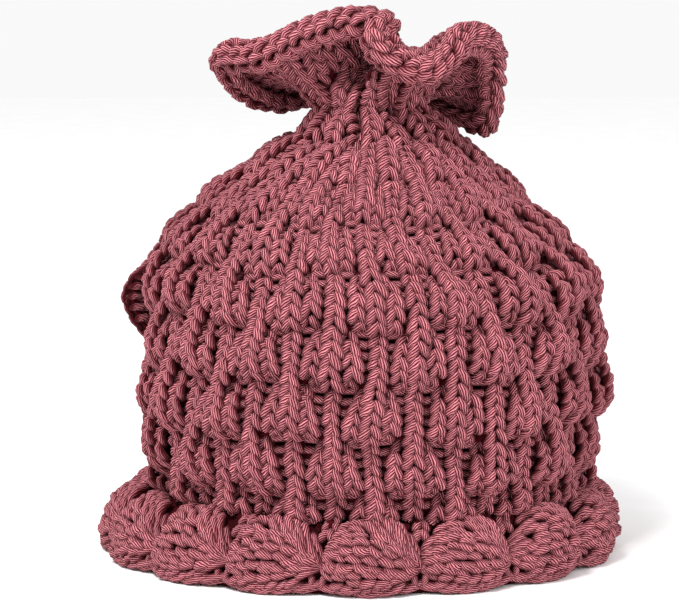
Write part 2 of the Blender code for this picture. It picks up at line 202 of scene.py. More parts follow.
def yarn_material():
    """The plied yarn of every strand, from its U and V alone."""
    material, tree = new_material("plied_aran_yarn")
    uv = node(tree, "ShaderNodeUVMap", {"uv_map": "OFBake"}).outputs[0]
    along, banded, _ = node(tree, "ShaderNodeSeparateXYZ", Vector=uv).outputs
    band_v = maths(tree, "MULTIPLY", banded, float(BANDS))
    band = maths(tree, "FLOOR", band_v)
    around = maths(tree, "FRACT", band_v)
    kind = maths(tree, "DIVIDE", band, float(SHADES))
    # Ply lines for each kind of strand, picked by the band.
    lines = [maths(tree, "MULTIPLY_ADD", around, plies_around, maths(tree, "MULTIPLY", along, plies_along))
             for plies_around, plies_along in zip(PLIES_AROUND, PLIES_ALONG)]
    ply = lines[0]
    for number in (1, 2):
        is_kind = maths(tree, "GREATER_THAN", kind, number - 0.01)
        chosen = node(tree, "ShaderNodeMix", {"data_type": "FLOAT"}, _0=is_kind, _2=ply, _3=lines[number])
        ply = chosen.outputs[0]
    # The twist is never even, so slow noise bends the ply lines.
    stray = noise(tree, stretched(tree, uv, STRAY_STRETCH), Detail=1.0)
    bent = maths(tree, "MULTIPLY_ADD", stray, PLY_STRAY, ply)
    wave = cosine_wave(tree, bent)
    # Fibres: noise drawn out along the plies.
    fibre_place = node(tree, "ShaderNodeCombineXYZ", X=ply, Y=along, Z=band).outputs[0]
    fibre = noise(tree, stretched(tree, fibre_place, FIBRE_STRETCH), Detail=3.0, Roughness=0.6)
    # The ramp paints shade in the valleys between plies and a highlight on their crests.
    tone = maths(tree, "ADD", wave, maths(tree, "MULTIPLY_ADD", fibre, *FIBRE_TONE))
    colour = colour_ramp(tree, tone, YARN_TONES)
    shade = maths(tree, "PINGPONG", band, SHADES / 2)
    mottle = noise(tree, stretched(tree, uv, MOTTLE_STRETCH), Detail=2.0)
    strand_value = maths(tree, "ADD", maths(tree, "MULTIPLY_ADD", shade, *SHADE_VALUE),
                         maths(tree, "MULTIPLY_ADD", mottle, *MOTTLE_VALUE))
    # No two plies take the dye alike: each has its own lightness, changing in the valley beside it.
    ply_number = maths(tree, "FLOOR", maths(tree, "ADD", bent, 0.5))
    ply_seed = maths(tree, "MULTIPLY_ADD", band, BAND_SEED, ply_number)
    chance = node(tree, "ShaderNodeTexWhiteNoise", {"noise_dimensions": "1D"}, W=ply_seed).outputs[0]
    ply_value = maths(tree, "MULTIPLY_ADD", chance, PLY_UNEVEN, 1 - PLY_UNEVEN / 2)
    value = maths(tree, "MULTIPLY", strand_value, ply_value)
    dyed = node(tree, "ShaderNodeHueSaturation", Value=value, Color=colour).outputs[0]
    # The underside and the ends of a strand lie in the creases between stitches, so painted shade
    # deepens the colour there to the dark red of the shade that falls in those creases.
    under = fade(tree, maths(tree, "PINGPONG", around, 0.5), *UNDERSIDE)
    ending = fade(tree, maths(tree, "PINGPONG", along, 0.5), *ENDS)
    lit = node(tree, "ShaderNodeMix", {"data_type": "RGBA"}, _0=maths(tree, "MULTIPLY", under, ending),
               _6=linear(YARN_CREASE_SHADE), _7=dyed).outputs[2]
    height = maths(tree, "MULTIPLY_ADD", fibre, FIBRE_HEIGHT, wave)
    bump = node(tree, "ShaderNodeBump", Strength=1.0, Distance=PLY_DEPTH, Height=height).outputs[0]
    rough = maths(tree, "MULTIPLY_ADD", fibre, *FIBRE_ROUGH)
    shader = node(tree, "ShaderNodeBsdfPrincipled", Base_Color=lit, Roughness=rough, Normal=bump)
    return finished_material(material, shader, YARN_SHEEN)


YARN = yarn_material()

# %% [markdown]
# ## The knitting behind the stitches
#
# Behind the raised stitches the cloth is seen from its purl side and deep in shade. It is made here
# # as a thin shell that carries the strands, with the real eyelets of the bell stitch cut through it,
# # and its own finish shows rows of purl bumps, coloured dark as painted shade, and darkest as painted
# # shade in the dips between the rows.

# %% Shell material
PURL_ACROSS = 72.0          # half waves of the purl rows across a panel
PURL_UP = 116.0             # rows of purl bumps over the whole of V
PURL_SWING = 0.28           # how far a row swings up and down, in rows
PURL_DEPTH = 1.2 * MM
PURL_FIBRES = 420.0         # scale of the fibres' noise over U and V
# Painted shade: the sheet is dark as the shade behind the stitches, darkest in the dips between rows.
PURL_SHADE_TONES = ((0.0, YARN_VALLEY_SHADE), (0.6, YARN_BEHIND_SHADE))


def shell_material():
    """Rows of purl bumps, painted dark as shade, for the cloth behind the strands."""
    material, tree = new_material("purl_side_in_painted_shade")
    uv = node(tree, "ShaderNodeUVMap", {"uv_map": "OFBake"}).outputs[0]
    across, upward, _ = node(tree, "ShaderNodeSeparateXYZ", Vector=uv).outputs
    swing = maths(tree, "SINE", maths(tree, "MULTIPLY", across, PURL_ACROSS * math.pi))
    rows = maths(tree, "MULTIPLY_ADD", swing, PURL_SWING, maths(tree, "MULTIPLY", upward, PURL_UP))
    fibre = noise(tree, uv, PURL_FIBRES, Detail=3.0)
    tone = maths(tree, "MULTIPLY", cosine_wave(tree, rows), fibre)
    colour = colour_ramp(tree, tone, PURL_SHADE_TONES)
    bump = node(tree, "ShaderNodeBump", Strength=0.9, Distance=PURL_DEPTH, Height=tone).outputs[0]
    shader = node(tree, "ShaderNodeBsdfPrincipled", Base_Color=colour, Normal=bump)
    return finished_material(material, shader, {"Roughness": 0.9, "Specular IOR Level": 0.1})


SHELL = shell_material()

# %% [markdown]
# ## The cloth's shape
#
# The cosy is drawn over a round pot. Its outer face is a stack of ellipses, one for each height,
# joined smoothly. A place on the cloth is given by its angle around the cosy (0 at the middle of the
# front, 90 at the handle) and its row of knitting, because that is how a knitter would name it.

# %% Dome
# Columns: height, half width, half depth, middle in X, all in mm.
PROFILE = np.array((
    (26.3, 80.5, 69.5, 6.0),
    (38.0, 82.0, 71.0, 6.2),
    (49.0, 84.5, 73.0, 5.6),
    (60.0, 85.2, 74.5, 5.4),
    (74.0, 84.7, 74.5, 6.0),
    (88.0, 84.5, 73.5, 6.4),
    (99.0, 83.0, 72.0, 6.4),
    (108.0, 80.5, 69.5, 6.0),
    (118.0, 76.0, 65.5, 4.0),
    (128.0, 69.5, 60.0, 2.6),
    (138.0, 60.0, 53.0, 2.6),
    (147.0, 49.5, 45.5, 4.6),
    (156.0, 38.0, 36.0, 6.2),
    (163.0, 28.0, 26.5, 7.8),
    (168.0, 21.4, 20.0, 6.6),
    (172.0, 17.2, 16.0, 5.2),
))


def smooth_curve(knots, rows, at):
    """Reads rows of values at any place along their knots, smoothly through every row."""
    slopes = np.gradient(rows, knots, axis=0)
    cell = np.clip(np.searchsorted(knots, at, side="right") - 1, 0, len(knots) - 2)
    width = knots[cell + 1] - knots[cell]
    t = ((at - knots[cell]) / width)[..., None]
    width = width[..., None]
    start = rows[cell] * (2 * t ** 3 - 3 * t ** 2 + 1)
    end = rows[cell + 1] * (3 * t ** 2 - 2 * t ** 3)
    leave = slopes[cell] * width * (t ** 3 - 2 * t ** 2 + t)
    arrive = slopes[cell + 1] * width * (t ** 3 - t ** 2)
    return start + end + leave + arrive


def hump(share):
    """1 at 0, falling smoothly to 0 at 1 and beyond."""
    return np.cos(np.pi / 2 * np.clip(share, 0.0, 1.0)) ** 2


def eased(share):
    """A share from 0 to 1 that starts and ends gently."""
    return share * share * (3 - 2 * share)


def lengths_along(points):
    """Length of a line from its start to each of its points."""
    steps = np.linalg.norm(np.diff(points, axis=0), axis=1)
    return np.concatenate(((0.0,), np.cumsum(steps)))


PROFILE_KNOTS = lengths_along(np.column_stack((PROFILE[:, 0], (PROFILE[:, 1] + PROFILE[:, 2]) / 2)))
DOME_LENGTH = PROFILE_KNOTS[-1]


def dome_point(angle, along):
    """A place on the pot-shaped part, by its length up the cloth in mm."""
    height, half_width, half_depth, middle = np.moveaxis(
        smooth_curve(PROFILE_KNOTS, PROFILE, along), -1, 0)
    turn = np.radians(angle)
    return np.stack((middle + half_width * np.sin(turn), -half_depth * np.cos(turn), height), axis=-1)


print("cloth from border to neck, mm:", round(DOME_LENGTH, 1))

# %% [markdown]
# ## The frill
#
# Above the gathered neck the same knitting spreads again and falls in folds. Its rim is drawn as a
# closed curve with a row of numbers for each fold, and the cloth runs from the neck to the rim on a
# smooth curve that leaves the neck upright and meets the rim at the slope given there.

# %% Frill
# Columns: X, Y, height, lean (90 rises, 0 lies level, -90 hangs).
FRONT_RIM = (
    (-54.0, -3.0, 192.5, 10.0),
    (-39.0, -19.0, 196.4, 30.0),
    (-20.0, -25.0, 206.0, 50.0),
    (-4.0, -25.0, 210.5, 65.0),
    (12.0, -21.0, 208.5, 50.0),
    (9.0, -33.0, 201.0, 10.0),
    (15.5, -41.0, 192.5, -22.0),
    (25.5, -44.0, 188.0, -35.0),
    (34.5, -38.0, 194.0, -5.0),
    (40.0, -29.0, 202.5, 35.0),
    (49.0, -17.0, 202.5, 30.0),
)
BACK_RIM = (
    (56.0, -4.0, 195.0, 0.0),
    (56.5, 8.0, 180.0, -40.0),
    (52.0, 21.0, 159.8, -75.0),
    (38.0, 33.0, 168.0, -45.0),
    (22.0, 35.0, 187.0, 15.0),
    (5.0, 28.0, 200.0, 60.0),
    (-12.0, 33.0, 191.0, 35.0),
    (-27.0, 34.0, 172.2, -30.0),
    (-41.0, 21.0, 171.8, -50.0),
    (-51.0, 9.0, 180.5, -30.0),
)
FRILL_RISE = 6.0            # how far the cloth stands up out of the gathers, mm
FRILL_SPREAD = 7.0          # how far it leans out of them, mm
FRILL_REACH = 15.0          # how far in from the rim the cloth follows its lean, mm
NECK_FOLLOW = 0.35          # share of the way up the frill that the pleats carry on


def rim_knots():
    """Angles that the rows of the rim are at, from -90 at the front's first to 270."""
    front = np.array(FRONT_RIM + BACK_RIM[:1])[:, :3]
    back = np.array(BACK_RIM + FRONT_RIM[:1])[:, :3]
    front_way = lengths_along(front)
    back_way = lengths_along(back)
    front_angles = -90 + 180 * front_way[:-1] / front_way[-1]
    back_angles = 90 + 180 * back_way[:-1] / back_way[-1]
    return np.concatenate((front_angles, back_angles))


RIM_ROWS = np.array(FRONT_RIM + BACK_RIM)
RIM_KNOTS = rim_knots()
RIM_ROWS_ROUND = np.concatenate((RIM_ROWS, RIM_ROWS, RIM_ROWS))
RIM_KNOTS_ROUND = np.concatenate((RIM_KNOTS - 360, RIM_KNOTS, RIM_KNOTS + 360))
# Folds of the frill. Columns: angle, share of the way up, half width in each, and depth in mm
# (below zero where the cloth falls back behind the rim).
FOLDS = (
    (-26.0, 0.54, 24.0, 0.36, -24.0),
    (-66.0, 0.48, 17.0, 0.34, 3.5),
    (-3.0, 0.42, 13.0, 0.36, 3.0),
    (74.0, 0.60, 13.0, 0.28, -6.0),
)


def folds(angle, share):
    """How far the frill is pushed out by its folds, mm."""
    return sum(deep * hump(np.abs(angle - at_angle) / wide) * hump(np.abs(share - at_share) / tall)
               for at_angle, at_share, wide, tall, deep in FOLDS)


def frill_point(angle, share):
    """A place on the frill, by its share of the way from neck to rim."""
    neck = dome_point(angle, np.full_like(angle, DOME_LENGTH))
    rim = smooth_curve(RIM_KNOTS_ROUND, RIM_ROWS_ROUND, angle)
    edge = rim[..., :3]
    lean = np.radians(rim[..., 3])[..., None]
    away = (edge - np.array((PROFILE[-1, 3], 0.0, 0.0))) * (1.0, 1.0, 0.0)
    away = away / np.linalg.norm(away, axis=-1, keepdims=True)
    up = np.array((0.0, 0.0, 1.0))
    turn = np.radians(angle)
    radial = np.stack((np.sin(turn), -np.cos(turn), np.zeros_like(turn)), axis=-1)
    stand = neck + FRILL_RISE * up + FRILL_SPREAD * radial
    turn_over = edge - FRILL_REACH * (np.cos(lean) * away + np.sin(lean) * up)
    t = share[..., None]
    smooth = (neck * (1 - t) ** 3 + 3 * stand * t * (1 - t) ** 2
              + 3 * turn_over * t ** 2 * (1 - t) + edge * t ** 3)
    return smooth + folds(angle, share)[..., None] * radial


def cloth_point(angle, along):
    """Face of the cloth; past the neck the length counts shares of the frill."""
    on_dome = dome_point(angle, np.minimum(along, DOME_LENGTH))
    on_frill = frill_point(angle, np.clip(along - DOME_LENGTH, 0.0, 1.0))
    return np.where((along > DOME_LENGTH)[..., None], on_frill, on_dome)


DOME_STEP = 0.5             # step for slopes: degrees around, and mm up the dome
FRILL_STEP = 0.02           # step up the frill, as a share of it


def cloth_normal(angle, along):
    """Outward direction of the cloth's face."""
    up_step = np.where(along > DOME_LENGTH, FRILL_STEP, DOME_STEP)
    around = cloth_point(angle + DOME_STEP, along) - cloth_point(angle - DOME_STEP, along)
    high = np.minimum(along + up_step, DOME_LENGTH + 1.0)
    low = np.maximum(along - up_step, 0.0)
    low = np.where(along > DOME_LENGTH, np.maximum(low, DOME_LENGTH), low)
    high = np.where(along <= DOME_LENGTH, np.minimum(high, DOME_LENGTH), high)
    upward = cloth_point(angle, high) - cloth_point(angle, low)
    normal = np.cross(around, upward)
    return normal / np.linalg.norm(normal, axis=-1, keepdims=True)


print("rim of the frill, knots:", len(RIM_ROWS))

# %% [markdown]
# ## Bell stitch
#
# Bell stitch makes columns of small hanging bells, each column half a bell higher than the next. A
# bell is one stitch wide at its top, three wide at its rim, and hollow under the rim, where a pair
# of eyelets opens. The relief below raises the cloth where a bell stands, and turns into pleats
# where the cloth is gathered.

# %% Relief of the bells
BELLS_AROUND = 18
HALF_PITCH = 180.0 / BELLS_AROUND  # from one column of bells to the next, degrees
BELL_HALF = 20.6            # half of a bell's height, mm
FIRST_BELL = 9.0            # from the cloth's lower edge to the lowest rim, mm
HALF_ROWS = 8               # half bells from the border to the neck
PLEAT_RELIEF = 3.5          # height of a pleat in the gathers, mm
SEAT_FADE = 9.0             # mm above the border over which the lowest bells flatten
LOOSE_BELL = 0.14           # share by which bells differ in fullness
LOOSE_AROUND, LOOSE_UP, LOOSE_COLUMN = 2.4, 4.1, 1.7   # turn of the wave that they differ by
# Columns: share of the way up the bell, height above the cloth, half width as a share of half a pitch.
BELL = np.array((
    (0.00, 0.3, 0.30),
    (0.06, 4.8, 0.60),
    (0.27, 6.0, 0.88),
    (0.50, 4.8, 0.70),
    (0.77, 2.8, 0.42),
    (1.00, 1.8, 0.32),
))


def bell_relief(angle, along, anchor):
    """Height of the bells at a place. A strand is anchored in one bell, so it never jumps to another."""
    relief = np.zeros_like(angle)
    for column in (0, 1):
        shifted = angle - column * HALF_PITCH
        nearest = np.round(shifted / (2 * HALF_PITCH))
        across = np.abs(shifted - nearest * 2 * HALF_PITCH) / HALF_PITCH
        bell = np.floor(((anchor - FIRST_BELL) / BELL_HALF - 1 + column) / 2)
        share = np.clip(((along - FIRST_BELL) / BELL_HALF - 1 + column) / 2 - bell, 0.0, 1.0)
        rise = np.interp(share, BELL[:, 0], BELL[:, 1])
        width = np.interp(share, BELL[:, 0], BELL[:, 2])
        loose = 1 + LOOSE_BELL * np.sin(LOOSE_AROUND * nearest + LOOSE_UP * bell + LOOSE_COLUMN * column)
        lens = np.sqrt(np.clip(1 - (across / width) ** 2, 0.0, 1.0))
        relief = np.maximum(relief, rise * loose * lens)
    return relief


def outer_offset(angle, along, anchor):
    """Height of the bells, and of the pleats that take their place in the gathers."""
    last_bell = FIRST_BELL + (HALF_ROWS - 0.5) * BELL_HALF
    to_pleats = np.clip((along - last_bell) / (DOME_LENGTH - last_bell), 0.0, 1.0)
    up_frill = np.clip((along - DOME_LENGTH) / NECK_FOLLOW, 0.0, 1.0)
    from_seat = np.clip(along / SEAT_FADE, 0.0, 1.0)
    bells = bell_relief(angle, along, anchor) * from_seat * (1 - to_pleats)
    pleats = PLEAT_RELIEF * (0.5 + 0.5 * np.cos(np.radians(angle * BELLS_AROUND)))
    return bells + pleats * to_pleats * (1 - up_frill)


print("bells around:", BELLS_AROUND, "and half bells upward:", HALF_ROWS)

# %% [markdown]
# ## Slits for the spout and the handle
#
# The panels are joined above and below a slit on each side. Beside a slit the columns of stitches
# draw apart, and the edge of the back panel curls outward at the spout, as free knitted edges do.

# %% Slits
# Columns: angle, lowest and highest height, half gap, curl of the front and of the back edge, and
# the height at which they curl most.
SLITS = (
    (-90.0, 34.0, 119.0, 13.0, 0.0, 15.0, 95.0),
    (90.0, 36.0, 114.0, 6.5, 1.0, -2.5, 90.0),
)
SLIT_ROUND = 0.7            # below 1 the gap opens faster at its ends
SLIT_SPREAD = 30.0          # degrees over which the wales draw apart
LIP_HEIGHT = 26.0           # mm above and below over which the curl fades
LIP_SPREAD = 14.0           # degrees over which an edge curls
EDGE_FLAT = 7.5             # degrees over which the bells flatten towards an edge
EDGE_EASE = 1.5             # above 1 what happens at an edge fades faster beside it


def open_slits(middle, local, height):
    """Degrees that wales are drawn aside, curl in mm, and the share of the bells' relief that is left."""
    shift = np.zeros_like(local)
    lip = np.zeros_like(local)
    flat = np.zeros_like(local)
    for seam, low, high, half_gap, front_lip, back_lip, lip_middle in SLITS:
        side = seam if middle == 0 else -seam
        beside = np.abs(local - side)
        widest = math.degrees(math.asin(half_gap / PROFILE[:, 2].max()))
        shape = np.sin(np.pi * np.clip((height - low) / (high - low), 0.0, 1.0)) ** SLIT_ROUND
        drawn = np.clip(1 - beside / SLIT_SPREAD, 0.0, 1.0) ** EDGE_EASE
        shift -= math.copysign(widest, side) * shape * drawn
        curl = np.clip(1 - beside / LIP_SPREAD, 0.0, 1.0) ** EDGE_EASE
        curl *= hump(np.abs(height - lip_middle) / LIP_HEIGHT)
        lip += (front_lip if middle == 0 else back_lip) * curl
        flat += shape * np.clip(1 - beside / EDGE_FLAT, 0.0, 1.0)
    return shift, lip, 1 - flat


print("slits, mm long:", [high - low for _, low, high, *_ in SLITS])

# %% [markdown]
# ## Wales and rows
#
# Wales are the upright columns of stitches, 72 of them around, and rows are the courses, ten to a
# bell. Everything on a panel is placed by its wale, its row and its height above the cloth.

# %% Placing things on a panel
BELL_ROWS = 5               # rows in half a bell
ROW = BELL_HALF / BELL_ROWS  # height of a row, mm
WALE = 5.0                  # a wale, in degrees around the cosy
RIM_ROW = 2.0               # the row at which the lowest bells hang
NECK_ROW = RIM_ROW + (DOME_LENGTH - FIRST_BELL) / ROW
FRILL_ROWS = 10.0           # rows from the neck to the rim
# How far hand knitting strays: rows, degrees and mm, each with a number that sets it apart.
ROW_WANDER, ROW_SEED = 0.55, 0.6
ANGLE_WANDER, ANGLE_SEED = 1.0, 1.9
HEIGHT_WANDER, HEIGHT_SEED = 0.9, 3.3
# It strays less near the seams (degrees), the border, the neck and the rim (rows).
CALM_SEAM, CALM_BORDER, CALM_NECK, CALM_RIM = 14, 6, 3, (7, 5)
# Waves that add up to the straying. Columns: waves around the cosy, turn for each row and each seed.
WANDER_WAVES = ((5, 0.31, 1.0), (9, -0.23, 2.7), (14, 0.47, 4.1))
# Rows over which the gathers pull the cloth in, and by how much in mm.
SETTLE = ((20.0, 26.0, 37.0, 43.0), (0.0, 3.4, 3.4, 0.0))
# Deep creases where the gathers pull in. Columns: angle, half width in degrees, depth in mm.
NECK_CREASES = (
    (-15.0, 15.0, 7.6),
    (24.0, 12.0, 4.6),
    (-52.0, 10.0, 3.6),
    (56.0, 11.0, 3.4),
    (101.0, 10.0, 3.4),
    (148.0, 12.0, 3.8),
    (-158.0, 10.0, 3.2),
    (-108.0, 11.0, 3.6),
)
CREASE_ROWS = 7.0           # rows above and below over which they fade
CREASE_ROW = -0.9           # the deepest row, counted from the neck
# Wales that the deepest crease draws towards itself. Values: its angle, reach in degrees, share.
PINCH_AT = (-15.0, 46.0, 0.42)
PINCH_ROWS = 11.0           # rows above and below over which the draw fades


def along_at(row):
    """Length up the cloth at a row, counted in shares of the frill past the neck."""
    on_dome = FIRST_BELL + (row - RIM_ROW) * ROW
    return np.where(row > NECK_ROW, DOME_LENGTH + np.maximum(row - NECK_ROW, 1e-4) / FRILL_ROWS, on_dome)


def away_from(angle, other):
    """Degrees from the other angle to this one, between -180 and 180."""
    return np.mod(angle - other + 180, 360) - 180


def near_crease(row, rows):
    """1 at the row of the creases, falling to 0 the given number of rows away."""
    return eased(np.clip(1 - np.abs(row - NECK_ROW - CREASE_ROW) / rows, 0.0, 1.0))


def neck_creases(angle, row):
    """How far the cloth is pulled in at the gathers, mm."""
    depth = sum(deep * hump(np.abs(away_from(angle, at_angle)) / wide)
                for at_angle, wide, deep in NECK_CREASES)
    return depth * near_crease(row, CREASE_ROWS)


def pinch_draw(angle, row):
    """How far a wale is drawn sideways towards the deepest crease, degrees."""
    at_angle, reach, draw = PINCH_AT
    across = away_from(angle, at_angle)
    return -draw * across * hump(np.abs(across) / reach) * near_crease(row, PINCH_ROWS)


def wander(angle, row, seed):
    """A slow, smooth unevenness between -1 and 1, never quite repeating over the cosy."""
    turn = np.radians(angle)
    return sum(np.sin(waves * turn + by_row * row + by_seed * seed)
               for waves, by_row, by_seed in WANDER_WAVES) / len(WANDER_WAVES)


def place(middle, local, row, height, raised):
    """Points at a wale's angle, a row and a height above the cloth, and the outward directions.

    raised is the part of the height that is pressed flat along the edges of the slits.
    """
    free = np.clip((90 - np.abs(local)) / CALM_SEAM, 0.0, 1.0) * np.clip(row / CALM_BORDER, 0.0, 1.0)
    free = free * np.clip(np.abs(row - NECK_ROW) / CALM_NECK, 0.0, 1.0)
    free = free * np.clip((NECK_ROW + CALM_RIM[0] - row) / CALM_RIM[1], 0.0, 1.0)
    turned = middle + local
    along = along_at(row + ROW_WANDER * free * wander(turned, row, ROW_SEED))
    height = height + HEIGHT_WANDER * free * wander(turned, row, HEIGHT_SEED) - np.interp(row, *SETTLE)
    local = local + ANGLE_WANDER * free * wander(turned, row, ANGLE_SEED)
    on_dome = np.minimum(along, DOME_LENGTH)
    level = np.where(along <= DOME_LENGTH, dome_point(local, on_dome)[..., 2], 0.0)
    shift, lip, relief_left = open_slits(middle, local, level)
    angle = middle + local + shift
    angle = angle + pinch_draw(angle, row)
    normal = cloth_normal(angle, along)
    proud = raised * relief_left + lip + height - neck_creases(turned, row)
    return cloth_point(angle, along) + normal * proud[..., None], normal


def wale_width(middle, local, row):
    """Width that one wale has on the cloth at a place, mm."""
    along = along_at(row)
    angle = middle + local
    across = cloth_point(angle + WALE / 2, along) - cloth_point(angle - WALE / 2, along)
    return np.linalg.norm(across, axis=-1)


# The rim curls outward into a roll, so what lies on it is placed around the roll instead.
ROLL_RADIUS = 4.3           # from the middle of the roll to the middles of its strands, mm
ROLL_PROUD = 1.2            # the roll's middle stands this far out from the face of the cloth, mm
ROLL_DROP = 1.6             # and this much further below the rim than its radius, mm
ROLL_FROM = 0.80            # share of the way up the frill where the roll starts
RIM_STEP = 0.12             # share of the frill over which its direction at the rim is measured


def place_on_roll(middle, local, turn, proud):
    """Points around the rolled rim, turn in degrees: 0 faces outward, 90 is the rim, 180 faces in."""
    angle = middle + local
    rim = np.full_like(angle, DOME_LENGTH + 1.0)
    edge = cloth_point(angle, rim)
    upward = edge - cloth_point(angle, rim - RIM_STEP)
    upward /= np.linalg.norm(upward, axis=-1, keepdims=True)
    around = cloth_point(angle + 2 * DOME_STEP, rim) - cloth_point(angle - 2 * DOME_STEP, rim)
    outward = np.cross(around, upward)
    outward /= np.linalg.norm(outward, axis=-1, keepdims=True)
    turned = np.radians(turn)[..., None]
    away = upward * np.sin(turned) + outward * np.cos(turned)
    reach = (ROLL_RADIUS + np.asarray(proud))[..., None]
    return edge - upward * (ROLL_RADIUS + ROLL_DROP) + outward * ROLL_PROUD + away * reach, away


print("rows from border to neck:", round(NECK_ROW, 1))

# %% [markdown]
# ## A mesh of many strands
#
# A strand is a tube around a line of points. Thousands of them go into one mesh from arrays, which
# takes a moment, where thousands of objects would take minutes.

# %% Strands to mesh
SIDES = 7                   # corners of a strand's section
LEFT, RIGHT, CROSS = 0, 1, 2  # kinds of strand, as the yarn's bands count them
# Middle and reach of the patch that an end takes, in U and as a share of the first band.
END_U, END_V = (0.03, 0.02), (0.5, 0.3)
rng = np.random.default_rng(20)


def stray_by(*shape):
    """Random numbers around 0, for what no hand repeats."""
    return rng.normal(0, 1, shape)


def mesh_object(name, points, faces, uvs, material):
    """A smooth-shaded object from points in mm, with a UV for each corner of its faces."""
    mesh = bpy.data.meshes.new(name)
    mesh.from_pydata((points * MM).tolist(), [], faces)
    mesh.uv_layers.new(name="OFBake").data.foreach_set("uv", np.asarray(uvs, np.float32).ravel())
    mesh.materials.append(material)
    mesh.shade_smooth()
    made = bpy.data.objects.new(name, mesh)
    bpy.context.scene.collection.objects.link(made)
    print(f"{name}: {sum(len(face) - 2 for face in faces)} triangles")
    return made


def tube_arrays(lines, ups, radii, kind):
    """Corner points, faces and UVs of tubes. lines and ups are (tubes, rings, 3), in mm."""
    tubes, rings = lines.shape[:2]
    ahead = np.gradient(lines, axis=1)
    ahead /= np.linalg.norm(ahead, axis=-1, keepdims=True)
    side = np.cross(ahead, ups)
    side /= np.linalg.norm(side, axis=-1, keepdims=True)
    top = np.cross(side, ahead)
    # The first corner lies underneath, so the line where V starts again is out of sight.
    turn = 2 * np.pi * (np.arange(SIDES) / SIDES) - np.pi / 2
    ring = (side[:, :, None] * np.cos(turn)[:, None] + top[:, :, None] * np.sin(turn)[:, None])
    points = lines[:, :, None] + ring * radii[:, :, None, None]
    tube_at, ring_at, corner = np.meshgrid(
        np.arange(tubes), np.arange(rings - 1), np.arange(SIDES), indexing="ij")
    after = (corner + 1) % SIDES
    base = (tube_at * rings + ring_at) * SIDES
    quads = np.stack((base + corner, base + after, base + SIDES + after, base + SIDES + corner), -1)
    u_low = ring_at / (rings - 1)
    u_high = (ring_at + 1) / (rings - 1)
    band = kind * SHADES + rng.integers(0, SHADES, tubes)[:, None, None]
    v_low = (band + BAND_MARGIN + (1 - 2 * BAND_MARGIN) * corner / SIDES) / BANDS
    v_high = (band + BAND_MARGIN + (1 - 2 * BAND_MARGIN) * (corner + 1) / SIDES) / BANDS
    uv = np.stack((u_low, v_low, u_low, v_high, u_high, v_high, u_high, v_low), -1)
    cap = np.arange(tubes)[:, None] * rings * SIDES + np.arange(SIDES)
    caps = np.concatenate((cap[:, ::-1], cap + (rings - 1) * SIDES))
    wheel = 2 * np.pi * np.arange(SIDES) / SIDES
    end_v = (END_V[0] + END_V[1] * np.sin(wheel)) / BANDS
    cap_uv = np.stack((END_U[0] + END_U[1] * np.cos(wheel), end_v), -1)
    cap_uv = np.broadcast_to(cap_uv, (2 * tubes, SIDES, 2))
    return points.reshape(-1, 3), quads.reshape(-1, 4), uv.reshape(-1, 2), caps, cap_uv.reshape(-1, 2)


def strand_object(name, groups):
    """One object from several groups of tubes: (lines, ups, radii, kind) each."""
    points, faces, uvs = [], [], []
    first = 0
    for group in groups:
        corner_points, quads, quad_uv, caps, cap_uv = tube_arrays(*group)
        points.append(corner_points)
        faces += (quads + first).tolist() + (caps + first).tolist()
        uvs += [quad_uv, cap_uv]
        first += len(corner_points)
    points = np.concatenate(points)
    points[:, 2] = np.maximum(points[:, 2], 0.0)
    return mesh_object(name, points, faces, np.concatenate(uvs), YARN)


print("corners of a strand's section:", SIDES)

# %% [markdown]
# ## Shells of the two panels
#
# The shell is the sheet of cloth itself: an outer and an inner grid joined along every free edge,
# with quads left out where the eyelets are.

# %% Panel shells
PANELS = (("front", 0), ("back", 180))     # name, and angle of its middle
SHELL_COLUMNS = 144
SHELL_STEP = 0.5            # rows of knitting to a row of quads
SHELL_START = 1.82          # where the rows of quads start, in rows
FRILL_QUADS = 25            # rows of quads on the frill
SHELL_OUT = -2.3            # outer face of the shell, below the face of the stitches, mm
SHELL_IN = -3.6
SHELL_RELIEF = 0.35         # share of the bells' height that the shell has
# The gathers press together inside the neck. Columns: rows from the neck, how far in, mm.
NECK_IN = ((-5.0, -1.5, 0.0, 1.6, 3.0, 5.0), (0.0, 4.0, 7.4, 3.6, 1.0, 0.0))
EYELET_ANGLE = 3.3          # from the middle of a bell to its eyelets, degrees
EYELET_DROP = 2.0           # below the bell's rim, mm
EYELET_SIZE = (1.3, 1.8)    # half width in degrees and half height in mm
ROLL_TURNS = np.linspace(-75.0, 175.0, 11)
ROLL_SHELL = (-1.6, -3.2)   # faces of the shell on the roll, from the strands' middles, mm
ROLL_TO_V = 100.0           # degrees around the roll that count as a row in V
V_ROWS = NECK_ROW + FRILL_ROWS + 4         # rows that V spans
# What a face of the shell spans in U and in V. The inner face takes the upper half of V.
SHELL_U, SHELL_V, U_MARGIN, V_MARGIN = 0.98, 0.48, 0.01, 0.03


def eyelet_here(angle, along):
    """True where an eyelet of the bell stitch opens."""
    here = np.zeros(angle.shape, bool)
    for column in (0, 1):
        shifted = angle - column * HALF_PITCH
        across = np.abs(shifted - np.round(shifted / (2 * HALF_PITCH)) * 2 * HALF_PITCH)
        steps = (along + EYELET_DROP - FIRST_BELL) / BELL_HALF
        nearest = np.round((steps - 1 + column) / 2) * 2 + 1 - column
        below = (steps - nearest) * BELL_HALF
        reach = ((across - EYELET_ANGLE) / EYELET_SIZE[0]) ** 2 + (below / EYELET_SIZE[1]) ** 2
        here |= (reach < 1) & (nearest >= 1) & (nearest < HALF_ROWS - 1)
    return here


